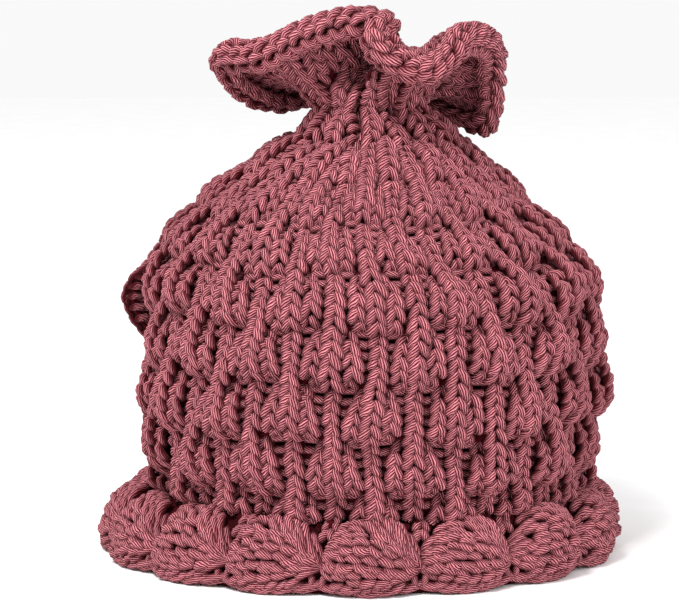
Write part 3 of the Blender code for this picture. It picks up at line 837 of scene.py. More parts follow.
def shell_object(name, middle):
    """The cloth of a panel: both faces, their free edges joined, with the eyelets left open."""
    rows = np.concatenate((np.arange(0.0, NECK_ROW, SHELL_STEP) - RIM_ROW + SHELL_START,
                           NECK_ROW + FRILL_ROWS * ROLL_FROM * np.linspace(0, 1, FRILL_QUADS)))
    rows[0] = RIM_ROW - FIRST_BELL / ROW
    local, row = np.meshgrid(np.linspace(-90.0, 90.0, SHELL_COLUMNS + 1), rows)
    along = along_at(row)
    raised = SHELL_RELIEF * outer_offset(middle + local, along, along)
    roll_local, turn = np.meshgrid(local[0], ROLL_TURNS)
    faces_of_cloth = []
    for depth, on_roll in ((SHELL_OUT, ROLL_SHELL[0]),
                           (SHELL_IN - np.interp(row - NECK_ROW, *NECK_IN), ROLL_SHELL[1])):
        on_panel, _ = place(middle, local, row, depth, raised)
        rolled, _ = place_on_roll(middle, roll_local, turn, on_roll)
        faces_of_cloth.append(np.concatenate((on_panel, rolled)).reshape(-1, 3))
    local = np.concatenate((local, roll_local))
    row = np.concatenate((row, NECK_ROW + FRILL_ROWS + (turn - ROLL_TURNS[0]) / ROLL_TO_V))
    along = along_at(row)
    kept = ~eyelet_here(middle + (local[:-1, :-1] + local[1:, 1:]) / 2, (along[:-1, :-1] + along[1:, 1:]) / 2)
    index = np.arange(local.size).reshape(local.shape)
    quads = np.stack((index[:-1, :-1], index[:-1, 1:], index[1:, 1:], index[1:, :-1]), -1)[kept]
    edges = [(a, b) for quad in quads.tolist() for a, b in zip(quad, quad[1:] + quad[:1])]
    paired = set(edges)
    second = local.size
    faces = quads.tolist() + (quads[:, ::-1] + second).tolist()
    faces += [[b, a, a + second, b + second] for a, b in edges if (b, a) not in paired]
    corners, renumbered = np.unique(np.concatenate(faces), return_inverse=True)
    u = np.tile((local.ravel() + 90) / 180, 2) * SHELL_U + U_MARGIN
    v = np.clip(np.tile(row.ravel() / V_ROWS, 2) + V_MARGIN, 0, 1) * SHELL_V
    v += np.repeat((0.0, 0.5), second)
    uvs = np.stack((u, v), -1)[corners][renumbered]
    print(f"{name}: {int((~kept).sum())} quads open")
    faces = renumbered.reshape(-1, 4).tolist()
    return mesh_object(name, np.concatenate(faces_of_cloth)[corners], faces, uvs, SHELL)


cloths = {panel: shell_object(f"{panel}_cloth", middle) for panel, middle in PANELS}
strands = {panel: [] for panel in cloths}


def add_strands(part, groups_of):
    """Makes a mesh of strands on each panel from what groups_of gives for its middle."""
    for panel, middle in PANELS:
        strands[panel].append(strand_object(f"{panel}_{part}", groups_of(middle)))


# %% [markdown]
# ## The stitches
#
# A knit stitch shows as two legs that lean together at the top. Each leg starts in front of the
# stitches over it and dives behind the next one down, so every leg is a leaf-like tube, thick in
# the middle and thin where it dives. The left legs lie close, like a coil, and the right ones
# overlap like leaves.

# %% Legs
# Columns: rows up from the stitch, share of the wale's width from its middle, height in mm, and
# thickness as a share of the yarn's.
LEFT_LEG = np.array((
    (0.64, -0.02, -1.30, 0.45),
    (0.47, -0.09, 0.10, 0.86),
    (0.18, -0.19, 0.70, 1.05),
    (-0.15, -0.30, 0.62, 1.05),
    (-0.44, -0.40, 0.00, 0.88),
    (-0.72, -0.48, -1.30, 0.45),
))
RIGHT_LEG = np.array((
    (0.68, 0.00, -1.10, 0.42),
    (0.52, 0.08, 0.35, 0.85),
    (0.22, 0.20, 0.98, 1.05),
    (-0.13, 0.33, 0.70, 1.03),
    (-0.45, 0.44, -0.15, 0.85),
    (-0.76, 0.52, -1.40, 0.42),
))
LEGS = ((LEFT_LEG, 1.84, LEFT), (RIGHT_LEG, 1.74, RIGHT))  # with their radius in mm, and their kind
LEG_STRAY = (0.075, 0.05, 0.25)    # of a leg's thickness, its place, and its height in mm
STRAND_SINK = -1.35         # middle of the strands below the face of the cloth, mm
PANEL_WALES = 36
EDGE_AT, EDGE_END = 88.6, 90.4     # the wale at each edge, and the furthest a leg goes, degrees
FULL_WALE = 6.2             # width of a wale where nothing crowds it, mm
# Share of its width that a wale keeps inside a bell, and on the gathers above. Columns: rows, share.
WALE_FILL = ((22.0, 30.0), (0.95, 1.04))
EDGE_FILL = 0.62            # the same share for the wale at an edge
WIDEST = 1.12               # and the most that one spreads, as a share of a full wale
# How many wales' place each of the four wales of a bell takes where its neighbours are hidden.
TAKES = np.array((4.0, 1.0, 2.0, 1.0))
TAKEN = 0.88                # the most that it takes, as a share of a full wale
TAKEN_GATHERED = 0.2        # and what is added where the cloth is gathered
GATHERED_ROWS = (14, 6)     # rows below the neck where that starts to grow, and over which it does
# Widths as shares of a full wale: hidden at the first and all there at the second.
FRILL_ROOM, SIDE_ROOM, BETWEEN_ROOM = (0.76, 0.98), (0.42, 0.66), (0.30, 0.50)
LEAST_ROOM = 0.08           # less than this isn't made
HIDDEN_SINK = 3.2           # how far a crowded wale falls back, mm
LEG_SCALE = (0.6, 1.15)     # smallest and largest leg, as shares of a full one
YARN_FOLLOWS = 0.7          # power of that share by which its yarn is thinner or thicker
SEAT_FROM = 0.6             # rows below the border's top where the lowest bells start to rise
SEAT_ROWS = 1.2             # rows over which they do
# How high the wales of a bell stand, going up from its rim: share of the bell, and mm.
CENTRE_RISE = np.array((
    (0.0, -0.8),
    (0.03, 3.2),
    (0.09, 5.8),
    (0.22, 7.4),
    (0.42, 6.0),
    (0.6, 3.4),
    (0.8, 1.6),
    (1.0, 0.5),
)).T
SIDE_RISE = np.array((
    (0.0, -1.8),
    (0.05, 0.8),
    (0.10, 3.8),
    (0.18, 5.4),
    (0.27, 5.0),
    (0.36, 3.2),
    (0.44, 0.4),
    (0.5, -1.6),
)).T
# Degrees from a bell's middle to its side wales, going up from its rim.
SIDE_REACH = np.array((
    (0.0, 3.4),
    (0.08, 4.2),
    (0.16, 4.6),
    (0.26, 4.3),
    (0.36, 3.6),
    (0.44, 2.7),
    (0.5, 2.0),
)).T
STRAIGHT_ROWS = 7           # rows over which they run straight again, and rows from there to the neck
# Above the pot's shoulder the gathers pull the bells smooth. Columns: rows, and share smoothed.
PULLED = ((22.0, 32.0), (0.0, 0.5))
PULLED_RISE = 3.2           # height that a wale has where it is pulled smooth, mm
PLEAT_EARLY = 3             # rows below the last bell where the pleats start
PLEAT_STRAY, PLEAT_TURN = 1.2, 2.7     # by how much the pleats differ, mm, and their turn per wale
PLEAT_VALLEY = 0.6          # height of the wales between pleats, mm
LOOSE_TURN = (1.3, 4.1)     # turn of the wave of the bells' fullness, for each wale and each bell
# The gathers push wales aside: degrees, turn for each bell and each row, rows below and above.
CRUMPLE, CRUMPLE_TURN, CRUMPLE_ROWS = 2.2, (1.9, 0.31), (12, 6)
FRILL_KNIT = 8.2            # rows of plain knitting on the frill, below the rolled rim
LOWEST_ROW = -1.0           # a row behind the border's puffs, seen between them
HALF_UP = 20.0              # row at which a panel's stitches are parted into two meshes


def crowding(width, room):
    """1 where there is room for a wale, falling to 0 where the cloth is gathered too tightly."""
    low, high = room
    return eased(np.clip((width / FULL_WALE - low) / (high - low), 0.0, 1.0))


def bell_of(wale, row):
    """The bell that a stitch belongs to: its column's place, its number upward, and the stitch's phase."""
    steps = (row - RIM_ROW) / BELL_ROWS
    kind = np.mod(wale, 4)
    nearest_a = np.round(wale / 4) * 4
    phase_a = np.mod((steps - 1) / 2, 1.0)
    in_a = np.where(kind == 0, True, np.where(kind == 2, False, phase_a < 0.5))
    nearest_b = np.round((wale - 2) / 4) * 4 + 2
    middle = np.where(in_a, nearest_a, nearest_b)
    upward = np.where(in_a, (steps - 1) / 2, steps / 2)
    return middle, np.floor(upward), upward - np.floor(upward)


def wale_path(wale, row):
    """Angle of a wale at a row: the side wales of a bell draw in as they rise."""
    middle, _, phase = bell_of(wale, row)
    side = np.mod(wale, 2) == 1
    on_dome = np.clip((NECK_ROW - STRAIGHT_ROWS - row) / STRAIGHT_ROWS, 0.0, 1.0)
    lean = (middle - wale) * WALE - np.sign(middle - wale) * np.interp(phase, *SIDE_REACH)
    below, above = CRUMPLE_ROWS
    gather = np.clip((row - NECK_ROW + below) / below, 0.0, 1.0)
    gather = gather * np.clip((NECK_ROW + above - row) / above, 0.0, 1.0)
    crumple = CRUMPLE * gather * np.sin(CRUMPLE_TURN[0] * np.round(wale / 4) + CRUMPLE_TURN[1] * row)
    return wale * WALE + np.where(side, lean * on_dome, 0.0) + crumple


def wale_rise(middle_angle, wale, row, up):
    """Height of a wale's strands over the cloth, for the rings of each stitch."""
    middle, bell, _ = bell_of(wale, row)
    column = np.where(np.mod(middle, 4) == 0, 1.0, 0.0)
    phase = ((up - RIM_ROW) / BELL_ROWS - column[:, None]) / 2 - bell[:, None]
    side = (np.mod(wale, 2) == 1)[:, None]
    rise = np.where(side, np.interp(phase, *SIDE_RISE), np.interp(phase, *CENTRE_RISE))
    rise = rise + (PULLED_RISE - rise) * np.interp(up, *PULLED)
    round_the_cosy = middle + middle_angle / WALE
    fullness = 1 + LOOSE_BELL * np.sin(LOOSE_TURN[0] * round_the_cosy + LOOSE_TURN[1] * bell)
    last_bell = RIM_ROW + (HALF_ROWS - 0.5) * BELL_ROWS
    to_pleats = np.clip((up - last_bell + PLEAT_EARLY) / (NECK_ROW - last_bell + PLEAT_EARLY), 0.0, 1.0)
    from_seat = np.clip((up + SEAT_FROM) / SEAT_ROWS, 0.0, 1.0)
    on_pleat = PLEAT_RELIEF + PLEAT_STRAY * np.sin(PLEAT_TURN * wale + middle_angle)[:, None]
    pleat = np.where(np.mod(wale, 4)[:, None] == 0, on_pleat, PLEAT_VALLEY)
    up_frill = np.clip((up - NECK_ROW) / (NECK_FOLLOW * FRILL_ROWS), 0.0, 1.0)
    return rise * fullness[:, None] * from_seat * (1 - to_pleats) + pleat * to_pleats * (1 - up_frill)


def stitches(middle, low_row, high_row):
    """Legs of all the stitches of a panel between two rows."""
    last = PANEL_WALES // 2
    rows = low_row + np.arange(int(round(high_row - low_row))) + 0.5
    wale, row = (a.ravel() for a in np.meshgrid(np.arange(-last, last + 1), rows))
    edge = np.abs(wale) == last
    local = np.where(edge, np.sign(wale) * EDGE_AT, wale_path(wale, row))
    width = wale_width(middle, local, row)
    kind = np.mod(wale, 4)
    gathered = np.clip((row - NECK_ROW + GATHERED_ROWS[0]) / GATHERED_ROWS[1], 0.0, 1.0)
    side_room = np.where(row > NECK_ROW, crowding(width, FRILL_ROOM), crowding(width, SIDE_ROOM))
    room = np.where(kind == 0, 1.0, np.where(kind == 2, crowding(width, BETWEEN_ROOM), side_room))
    full = np.minimum(width, FULL_WALE * WIDEST) * np.interp(row, *WALE_FILL)
    taken = np.minimum(TAKES[kind] * width, (TAKEN + TAKEN_GATHERED * gathered) * FULL_WALE)
    seen = np.maximum(full, taken)
    seen = np.where(edge, EDGE_FILL * np.minimum(seen, FULL_WALE), seen)
    keep = room > LEAST_ROOM
    wale, row, local, width, room, seen = (a[keep] for a in (wale, row, local, width, room, seen))
    by_size, by_place, by_lift = LEG_STRAY
    groups = []
    for leg, radius, kind_of_leg in LEGS:
        size = rng.normal(1.0, by_size, len(wale))
        shift = rng.normal(0.0, by_place, (2, len(wale)))
        lift = rng.normal(0.0, by_lift, len(wale))
        up = row[:, None] + leg[:, 0] + shift[0][:, None]
        across = (leg[:, 1] + shift[1][:, None]) * seen[:, None]
        rings_local = np.clip(local[:, None] + across / width[:, None] * WALE, -EDGE_END, EDGE_END)
        scale = np.clip(seen / FULL_WALE, *LEG_SCALE)[:, None]
        height = STRAND_SINK + (leg[:, 2] + lift[:, None]) * scale - (1 - room[:, None]) * HIDDEN_SINK
        lines, ups = place(middle, rings_local, up, height, wale_rise(middle, wale, row, up))
        radii = radius * leg[:, 3] * size[:, None] * scale ** YARN_FOLLOWS
        groups.append((lines, ups, radii, kind_of_leg))
    return groups


for panel, middle in PANELS:
    for part, low, high in (("low", LOWEST_ROW, HALF_UP), ("high", HALF_UP, NECK_ROW + FRILL_KNIT)):
        strands[panel].append(strand_object(f"{panel}_stitches_{part}", stitches(middle, low, high)))

# %% [markdown]
# ## Ladders between the wales
#
# Beside the narrow top of a bell the cloth is purled, and what shows there are short strands lying
# across, set back in the shade.

# %% Ladders
# Columns: share of the gap across, rows up, height in mm, thickness share.
BOW = np.array((
    (-0.72, -0.20, -1.3, 0.55),
    (-0.36, 0.08, 0.1, 0.98),
    (0.36, 0.08, 0.1, 0.98),
    (0.72, -0.20, -1.3, 0.55),
))
BOW_RADIUS = 1.7
BOW_SINK = -0.8
BOW_REACH = 0.7             # half its length, as a share of a wale
# The recesses are shallower on the gathered part above. Columns: rows, and mm.
BOW_RAISED = ((18.0, 27.0), (1.0, 2.8))
BOW_UP, BOW_TOP = 0.95, 5   # rows up that the first ladder lies, and rows left free below the neck
STEM_FROM = 0.52            # share of the way up a bell where its narrow top starts
BESIDE_STEM, STEM_NARROWS = 3.5, 1.0   # degrees from its middle to the ladder, and their change
LADDER_ROOM = 0.6           # narrowest wale with a ladder beside it, as a share of a full one


def ladders(middle):
    """Purl strands beside the stem of every bell."""
    rows = np.arange(0, int(NECK_ROW) - BOW_TOP) + BOW_UP
    gap, row = (a.ravel() for a in np.meshgrid(np.arange(0.5 - PANEL_WALES / 2, PANEL_WALES / 2), rows))
    # The even wale beside this gap is a stem where its own bell is past its half.
    even = np.where(np.mod(gap - 0.5, 2) == 0, gap - 0.5, gap + 0.5)
    column = np.where(np.mod(even, 4) == 0, 0, 1)
    phase = np.mod(((row - RIM_ROW) / BELL_ROWS - 1 + column) / 2, 1.0)
    stem = phase > STEM_FROM
    gap, row, even, phase = (a[stem] for a in (gap, row, even, phase))
    local = even * WALE + np.sign(gap - even) * (BESIDE_STEM + STEM_NARROWS * (phase - 0.5))
    width = wale_width(middle, local, row)
    across = BOW[:, 0] * np.minimum(width, FULL_WALE)[:, None] * BOW_REACH
    rings_local = np.clip(local[:, None] + across / width[:, None] * WALE, -90, 90)
    up = row[:, None] + BOW[:, 1]
    height = STRAND_SINK + BOW_SINK + BOW[:, 2]
    keep = (~eyelet_here(middle + local, along_at(row))) & (width > LADDER_ROOM * FULL_WALE)
    lines, ups = place(middle, rings_local, up, height, np.interp(up, *BOW_RAISED))
    radii = BOW_RADIUS * BOW[:, 3] * np.ones((len(row), 1))
    return [(lines[keep], ups[keep], radii[keep], CROSS)]


add_strands("ladders", ladders)

# %% [markdown]
# ## Purl bumps inside the frill, and its rolled rim
#
# The inside of the frill shows the purl side, and at the rim the cloth curls outward into a thick
# roll, so the purl side comes to the front there too. Purl shows as rows of short arcs, one row
# humped upward and the next one downward, each arc diving behind its neighbours. The cast-off chain
# closes the edge with a row of larger slanting leaves.

# %% Purl arcs
# Along an arc: reach as a share of its pitch, rise as a share of its hump, dip in mm, thickness share.
ARC = np.array((
    (-0.56, -0.75, -2.2, 0.42),
    (-0.40, -0.05, -0.5, 0.84),
    (-0.15, 0.50, 0.6, 1.06),
    (0.15, 0.50, 0.6, 1.06),
    (0.40, -0.05, -0.5, 0.84),
    (0.56, -0.75, -2.2, 0.42),
))
# Rows of arcs. Columns: share of the way up the frill, height and hump in mm, lean in mm, radius.
INSIDE_ROWS = [(share, -4.6, (-1) ** number * 1.4, 0.0, 1.45)
               for number, share in enumerate(np.arange(0.22, 0.84, 0.066))]
# Inside the neck the gathers press together, so fewer bumps go round and they stand further in.
NECK_ROWS_IN = (
    (0.17, -6.4, 1.0, 0.0, 1.6),
    (0.11, -8.6, -1.0, 0.0, 1.7),
    (0.05, -11.0, 1.0, 0.0, 1.7),
    (0.00, -12.6, -0.8, 0.0, 1.7),
)
# Rows of arcs around the roll. Columns: turn around it in degrees, hump and lean in mm, radius.
RIM_ROWS_OUT = (
    (-84.0, -1.3, 0.6, 1.75),
    (-46.0, 1.7, 1.2, 1.95),
    (-5.0, -1.7, -1.2, 2.05),
    (37.0, 1.7, 1.8, 2.1),
    (79.0, 0.6, 3.4, 2.2),
    (121.0, 1.6, 1.6, 2.05),
    (162.0, -1.6, 1.0, 1.95),
    (200.0, 1.4, 0.0, 1.75),
)
INSIDE_ARCS, NECK_ARCS, RIM_ARCS = 30, 8, 29   # arcs along a panel in each row
ARC_FROM, ARC_SHIFT = 0.35, 0.3    # where a row starts, and every second row's shift, as pitches
RISE_STRAY = 0.15           # by how much the arcs' rise differs
# By how much the arcs' place differs (share of the pitch), their height in mm, and their thickness.
INSIDE_STRAY, ROLL_STRAY = (0.07, 0.25, 0.06), (0.08, 0.3, 0.07)
FRILL_ROW = 3.8             # height of a row on the frill, mm


def arc_row(number, count, hump, lean, by_place):
    """One row of arcs along a panel: degrees, rise in mm, and what else strays."""
    pitch = 180 / count
    stray = stray_by(4, count, 1)
    start = ARC_FROM + ARC_SHIFT * (number % 2)
    at = -90 + pitch * (np.arange(count)[:, None] + start + by_place * stray[0])
    local = np.clip(at + ARC[:, 0] * pitch, -90, 90)
    rise = hump * ARC[:, 1] * (1 + RISE_STRAY * stray[1]) + lean * ARC[:, 0]
    return local, rise, stray[2], stray[3]


def purl_arcs(middle, table, count):
    """Rows of short arcs along a panel, humped upward and downward by turns."""
    groups = []
    by_place, by_height, by_size = INSIDE_STRAY
    for number, (share, level, hump, lean, radius) in enumerate(table):
        local, rise, lift, size = arc_row(number, count, hump, lean, by_place)
        row = NECK_ROW + FRILL_ROWS * share + rise / FRILL_ROW
        face = math.copysign(1.0, level)
        lines, ups = place(middle, local, row, level + face * ARC[:, 2] + by_height * lift, 0.0)
        groups.append((lines, face * ups, radius * ARC[:, 3] * (1 + by_size * size), CROSS))
    return groups


def rim_arcs(middle):
    """Rows of arcs around the rolled rim of a panel."""
    groups = []
    by_place, by_height, by_size = ROLL_STRAY
    for number, (around, hump, lean, radius) in enumerate(RIM_ROWS_OUT):
        local, rise, lift, size = arc_row(number, RIM_ARCS, hump, lean, by_place)
        turn = around + np.degrees(rise / ROLL_RADIUS)
        lines, ups = place_on_roll(middle, local, turn, ARC[:, 2] + by_height * lift)
        groups.append((lines, ups, radius * ARC[:, 3] * (1 + by_size * size), CROSS))
    return groups


LIP_COLUMNS = (89.2, 85.0, 80.5, 76.0)     # wales of bumps on the wrong side by the slits, degrees
LIP_ROWS = (1, 33)
LIP_REACH, LIP_HUMP, LIP_SINK, LIP_RADIUS = 1.05, 0.3, 0.6, 1.75   # in wales, rows, mm and mm
LIP_STRAY = (0.08, 0.2, 0.06)      # rows, mm, and share of the thickness


def lip_bumps(middle):
    """Purl bumps on the wrong side of the cloth, where the slits let it be seen."""
    columns = [side * at for side in (-1, 1) for at in LIP_COLUMNS]
    column, row = (a.ravel()[:, None] for a in np.meshgrid(columns, np.arange(*LIP_ROWS) + 0.5))
    stray = stray_by(3, len(row), 1)
    local = np.clip(column + ARC[:, 0] * WALE * LIP_REACH, -90, 90)
    hump = LIP_HUMP * np.where(np.mod(np.round(row), 2) == 0, 1, -1)
    up = row + hump * ARC[:, 1] + LIP_STRAY[0] * stray[0]
    raised = SHELL_RELIEF * outer_offset(middle + local, along_at(up), along_at(up))
    depth = SHELL_IN - LIP_SINK - ARC[:, 2] + LIP_STRAY[1] * stray[1]
    lines, ups = place(middle, local, up, depth, raised)
    return [(lines, -ups, LIP_RADIUS * ARC[:, 3] * (1 + LIP_STRAY[2] * stray[2]), CROSS)]


def inside_arcs(middle):
    """All the purl bumps that show on a panel's wrong side."""
    return (purl_arcs(middle, INSIDE_ROWS, INSIDE_ARCS) + purl_arcs(middle, NECK_ROWS_IN, NECK_ARCS)
            + lip_bumps(middle))


add_strands("frill_inside", inside_arcs)
add_strands("rim", rim_arcs)

# %% [markdown]
# ## The puffed border
#
# The border is knitted as a ring of sixteen puffs, pinched between one and the next. It is drawn as
# a section that swells at the middle of a puff and falls back at its ends. The cloth of the border
# follows it a little below its strands.

# %% Border shape
PUFFS = 16
HALF_PUFF = 180 / PUFFS     # degrees
PUFF_PHASE = 2.0            # middle of the first puff, degrees
PUFF_ROUND = 0.8            # below 1 a puff is fuller towards its ends
HEM_HEIGHT = 26.0
HEM_OUTER = (99.0, 80.5)    # half width and half depth of the ring's outside and inside, mm
HEM_INNER = (77.0, 66.0)
PUFF_FULLNESS = (1.0, 0.8, 1.0, 0.9, 0.75, 1.0, 0.85, 0.95, 1.0, 0.8, 0.85, 0.7, 0.75, 0.8, 0.9, 0.95)
# Columns: height, out from the inside as a share of the ring's width, height added and outward
# distance added at the middle of a puff, in mm.
HEM_SECTION = np.array((
    (0.0, 0.70, 0.0, 0.0),
    (1.2, 0.86, 0.0, 1.0),
    (3.8, 0.88, 0.0, 2.4),
    (7.2, 0.80, 0.6, 4.9),
    (10.4, 0.72, 1.8, 6.9),
    (12.8, 0.62, 4.4, 8.3),
    (15.0, 0.54, 6.6, 7.6),
    (17.6, 0.48, 7.2, 5.4),
    (20.4, 0.42, 5.6, 3.0),
    (23.2, 0.34, 2.8, 0.6),
    (HEM_HEIGHT, 0.02, 0.0, 0.0),
    (22.0, 0.0, 0.0, 0.0),
    (3.0, 0.0, 0.0, 0.0),
    (0.0, 0.10, 0.0, 0.0),
))
SECTION_STEP = 0.3          # rows of the section over which its slope is measured
HEM_COLUMNS = PUFFS * 12    # columns of quads in the border's cloth
# How far the cloth lies below the strands. Columns: row of the section, mm.
HEM_SINK = ((0, 1, 2, 9, 10), (-2.0, -2.0, SHELL_OUT, SHELL_OUT, 0.0))


def puff_fullness(angle):
    """0 at a pinched place, rising to the fullness of the puff in its middle."""
    turns = np.mod((angle - PUFF_PHASE) / 360 * PUFFS + 0.5, PUFFS)
    which = turns.astype(int) % PUFFS
    across = turns - np.floor(turns)
    return np.array(PUFF_FULLNESS)[which] * np.sin(np.pi * across) ** PUFF_ROUND


def hem_point(angle, place_up, proud):
    """A point of the border: place_up counts rows of the section, proud is a height over it in mm."""
    turn = np.radians(angle)
    full = puff_fullness(angle)
    inside = np.stack((PROFILE[0, 3] + HEM_INNER[0] * np.sin(turn), -HEM_INNER[1] * np.cos(turn)), -1)
    out = np.stack((HEM_OUTER[0] * np.sin(turn), -HEM_OUTER[1] * np.cos(turn)), -1) - inside
    out_way = out / np.linalg.norm(out, axis=-1, keepdims=True)

    def at(up):
        cell = np.clip(np.floor(up).astype(int), 0, len(HEM_SECTION) - 2)
        t = (up - cell)[..., None]
        row = HEM_SECTION[cell] * (1 - t) + HEM_SECTION[cell + 1] * t
        flat = inside + out * row[..., 1:2] + out_way * (row[..., 3] * full)[..., None]
        return np.concatenate((flat, (row[..., 0] + row[..., 2] * full)[..., None]), -1)

    ahead = at(place_up + SECTION_STEP) - at(place_up - SECTION_STEP)
    rise = ahead[..., 2]
    run = (ahead[..., :2] * out_way).sum(-1)
    length = np.hypot(rise, run) + 1e-9
    normal = np.concatenate((out_way * (rise / length)[..., None], (-run / length)[..., None]), -1)
    return at(place_up) + normal * np.asarray(proud)[..., None], normal


def hem_shell():
    """The border's cloth: the pinched ring that the strands lie on."""
    rows = len(HEM_SECTION)
    column, row = np.meshgrid(np.arange(HEM_COLUMNS), np.arange(rows), indexing="ij")
    up = row.astype(float)
    points, _ = hem_point(column / HEM_COLUMNS * 360 + PUFF_PHASE, np.minimum(up, rows - 1 - 1e-6),
                          np.interp(up, *HEM_SINK))
    points[..., 2] = np.maximum(points[..., 2], 0.0)
    points[:, (0, -1), 2] = 0.0
    after, over = (column + 1) % HEM_COLUMNS, (row + 1) % rows
    corners = ((column, row), (after, row), (after, over), (column, over))
    faces = np.stack([at_column * rows + at_row for at_column, at_row in corners], -1)
    u, u_after = column / HEM_COLUMNS, (column + 1) / HEM_COLUMNS
    v, v_over = row / rows, (row + 1) / rows
    uvs = np.stack((u, v, u_after, v, u_after, v_over, u, v_over), -1)
    # The border's cloth takes the same finish as the panels' shells, painted dark as shade.
    return mesh_object("border_cloth", points.reshape(-1, 3), faces.reshape(-1, 4).tolist(), uvs, SHELL)


cloths["border"] = hem_shell()

# %% [markdown]
# ## Strands of the border
#
# Strands run round every puff and meet at the pinched places, and purl bumps fill its middle. The
# rope-like cast-on edge lies on the table, and rises a little at each pinched place.

# %% Strands of the border
# Length over the outside of the border from its edge, mm, and the rows of the section.
OVER_BORDER = ((-3.1, 0.0, 4.2, 8.7, 13.7, 18.5, 22.9, 26.4, 30.0, 35.0),
               (1.0, 2.0, 3.0, 4.0, 5.0, 6.0, 7.0, 8.0, 9.0, 10.0))
# Along a leaf of a chain: reach, dip in mm, and thickness share.
LEAF = np.array((
    (-0.86, -1.3, 0.45),
    (-0.62, -0.3, 0.85),
    (-0.22, 0.45, 1.0),
    (0.22, 0.45, 1.0),
    (0.62, -0.3, 0.85),
    (0.86, -1.3, 0.45),
))
# Arcs over a puff. Columns: how far over the middle of the puff and at the pinched places, leaves,
# radius, height proud and slant of a leaf in mm, and share of the puff's width.
PUFF_ARCS = (
    (-0.4, 4.6, 7, 1.75, 0.3, -1.5, 0.66),
    (22.8, 9.4, 7, 1.95, 0.9, 3.0, 1.0),
    (26.2, 11.2, 7, 2.0, 0.9, 3.0, 1.0),
    (29.6, 13.6, 7, 1.95, 0.4, 3.0, 1.0),
)
LEAF_REACH, LEAF_SHIFT = 1.6, 0.3  # a leaf's length over its pitch, and every second row's shift
PUFF_END, PUFF_BULGE = 1.06, 0.7   # half widths that a row reaches; below 1 it bulges more
LEAF_THINS = 0.2            # by how much the leaves thin towards the pinched places
LEAF_STRAY = (0.35, 0.25, 0.07)    # length over the border and height in mm, and thickness
# Rows of purl bumps in the middle of a puff. Columns: how far over, bumps, reach as a share of the
# puff's half width, hump and slant in mm.
PUFF_BUMPS = (
    (2.6, 5, 0.66, 0.8, 1.0),
    (5.6, 6, 0.80, 0.9, -1.2),
    (8.6, 6, 0.86, -0.9, -1.6),
    (11.6, 6, 0.86, 0.9, -1.6),
    (14.6, 6, 0.82, -0.9, -1.6),
    (17.4, 5, 0.74, 0.9, -1.6),
    (20.2, 4, 0.58, -0.8, -1.4),
)
BUMP_RADIUS, BUMP_PROUD, BUMP_SHIFT = 1.9, 0.8, 0.2    # mm, mm, and shift of a row as a pitch
BUMP_DIP = 0.8              # depth of their dips, as a share of a longer arc's
# Reach as a share of the half width, slant, length over the border and height in mm, and thickness.
BUMP_STRAY = (0.02, 0.8, 0.4, 0.4, 0.07)
PUFF_CURVE = 0.62           # how strongly the rows of bumps draw together towards the pinched places
PUFF_TILT = 1.3             # by how much the rows of each puff slant, mm
DIVE = 2.2                  # how much deeper the strands dive at the pinched places, mm
DIVE_OVER = (24, 6)         # how far over the border that ends, and over which length it fades, mm
FAN_STRANDS = 5             # strands that run together at each pinched place
FAN_REACH = (1.10, 0.64)    # from the pinched place to the bumps, as shares of the half width
FAN_OVER = (3.0, 17.0)      # how far over the border they spread beside the bumps, mm
FAN_MEET = 0.15             # share of the way along where they meet
FAN_RADIUS, FAN_OPENS = 1.55, 0.8  # mm; below 1 they part faster
FAN_PROUD = 0.4             # one side's strands lie this far up and the other's this far down, mm
FAN_CROSS = -0.2            # how far they run on past where they meet
FAN_STRAY = (0.25, 0.3)     # length over the border, and height, mm
NODE_OVER = 9.0             # where they meet, mm over the border
NODE_STITCHES = np.array((31.0, 25.6))     # stitches that run down to a pinched place, mm over
NODE_ROW = 5.6              # height of one, in the same measure
NODE_WIDE = 3.6             # width of that wale, in degrees
NODE_SINK, NODE_STRAY = 0.6, 0.2   # how deep it lies, and how far it strays, mm
FAN = np.array((
    (0.00, -1.2, 0.50),
    (0.16, 0.2, 0.86),
    (0.50, 0.5, 1.00),
    (0.78, 0.5, 1.00),
    (0.93, -0.2, 0.85),
    (1.05, -1.4, 0.45),
))
# The short stitches under a pinched place: degrees aside as a share of half a puff, where they start
# and how long they are in mm over the border, radius, height proud, and how far their ends dive.
SHORT_ASIDE, SHORT_OVER, SHORT_RADIUS, SHORT_PROUD, SHORT_DIVE = 0.07, (-2.0, 7.6), 1.4, 0.5, 2.2
SHORT_RINGS = 5
SHORT_ENDS = (1.05, 0.5)    # thickness of its middle, and what its ends have less, as shares


def border_group(angle, over, proud, radii):
    """Strands of the border from arrays of any shape whose last axis runs along a strand."""
    angle, over, proud, radii = np.broadcast_arrays(angle, over, proud, radii)
    rings = angle.shape[-1]
    pinched = 1 - np.abs(np.cos(np.pi * (angle - PUFF_PHASE) / 360 * PUFFS))
    outside = np.clip((DIVE_OVER[0] - over) / DIVE_OVER[1], 0.0, 1.0)
    lines, ups = hem_point(angle, np.interp(over, *OVER_BORDER), proud - DIVE * pinched ** 4 * outside)
    return lines.reshape(-1, rings, 3), ups.reshape(-1, rings, 3), radii.reshape(-1, rings), CROSS


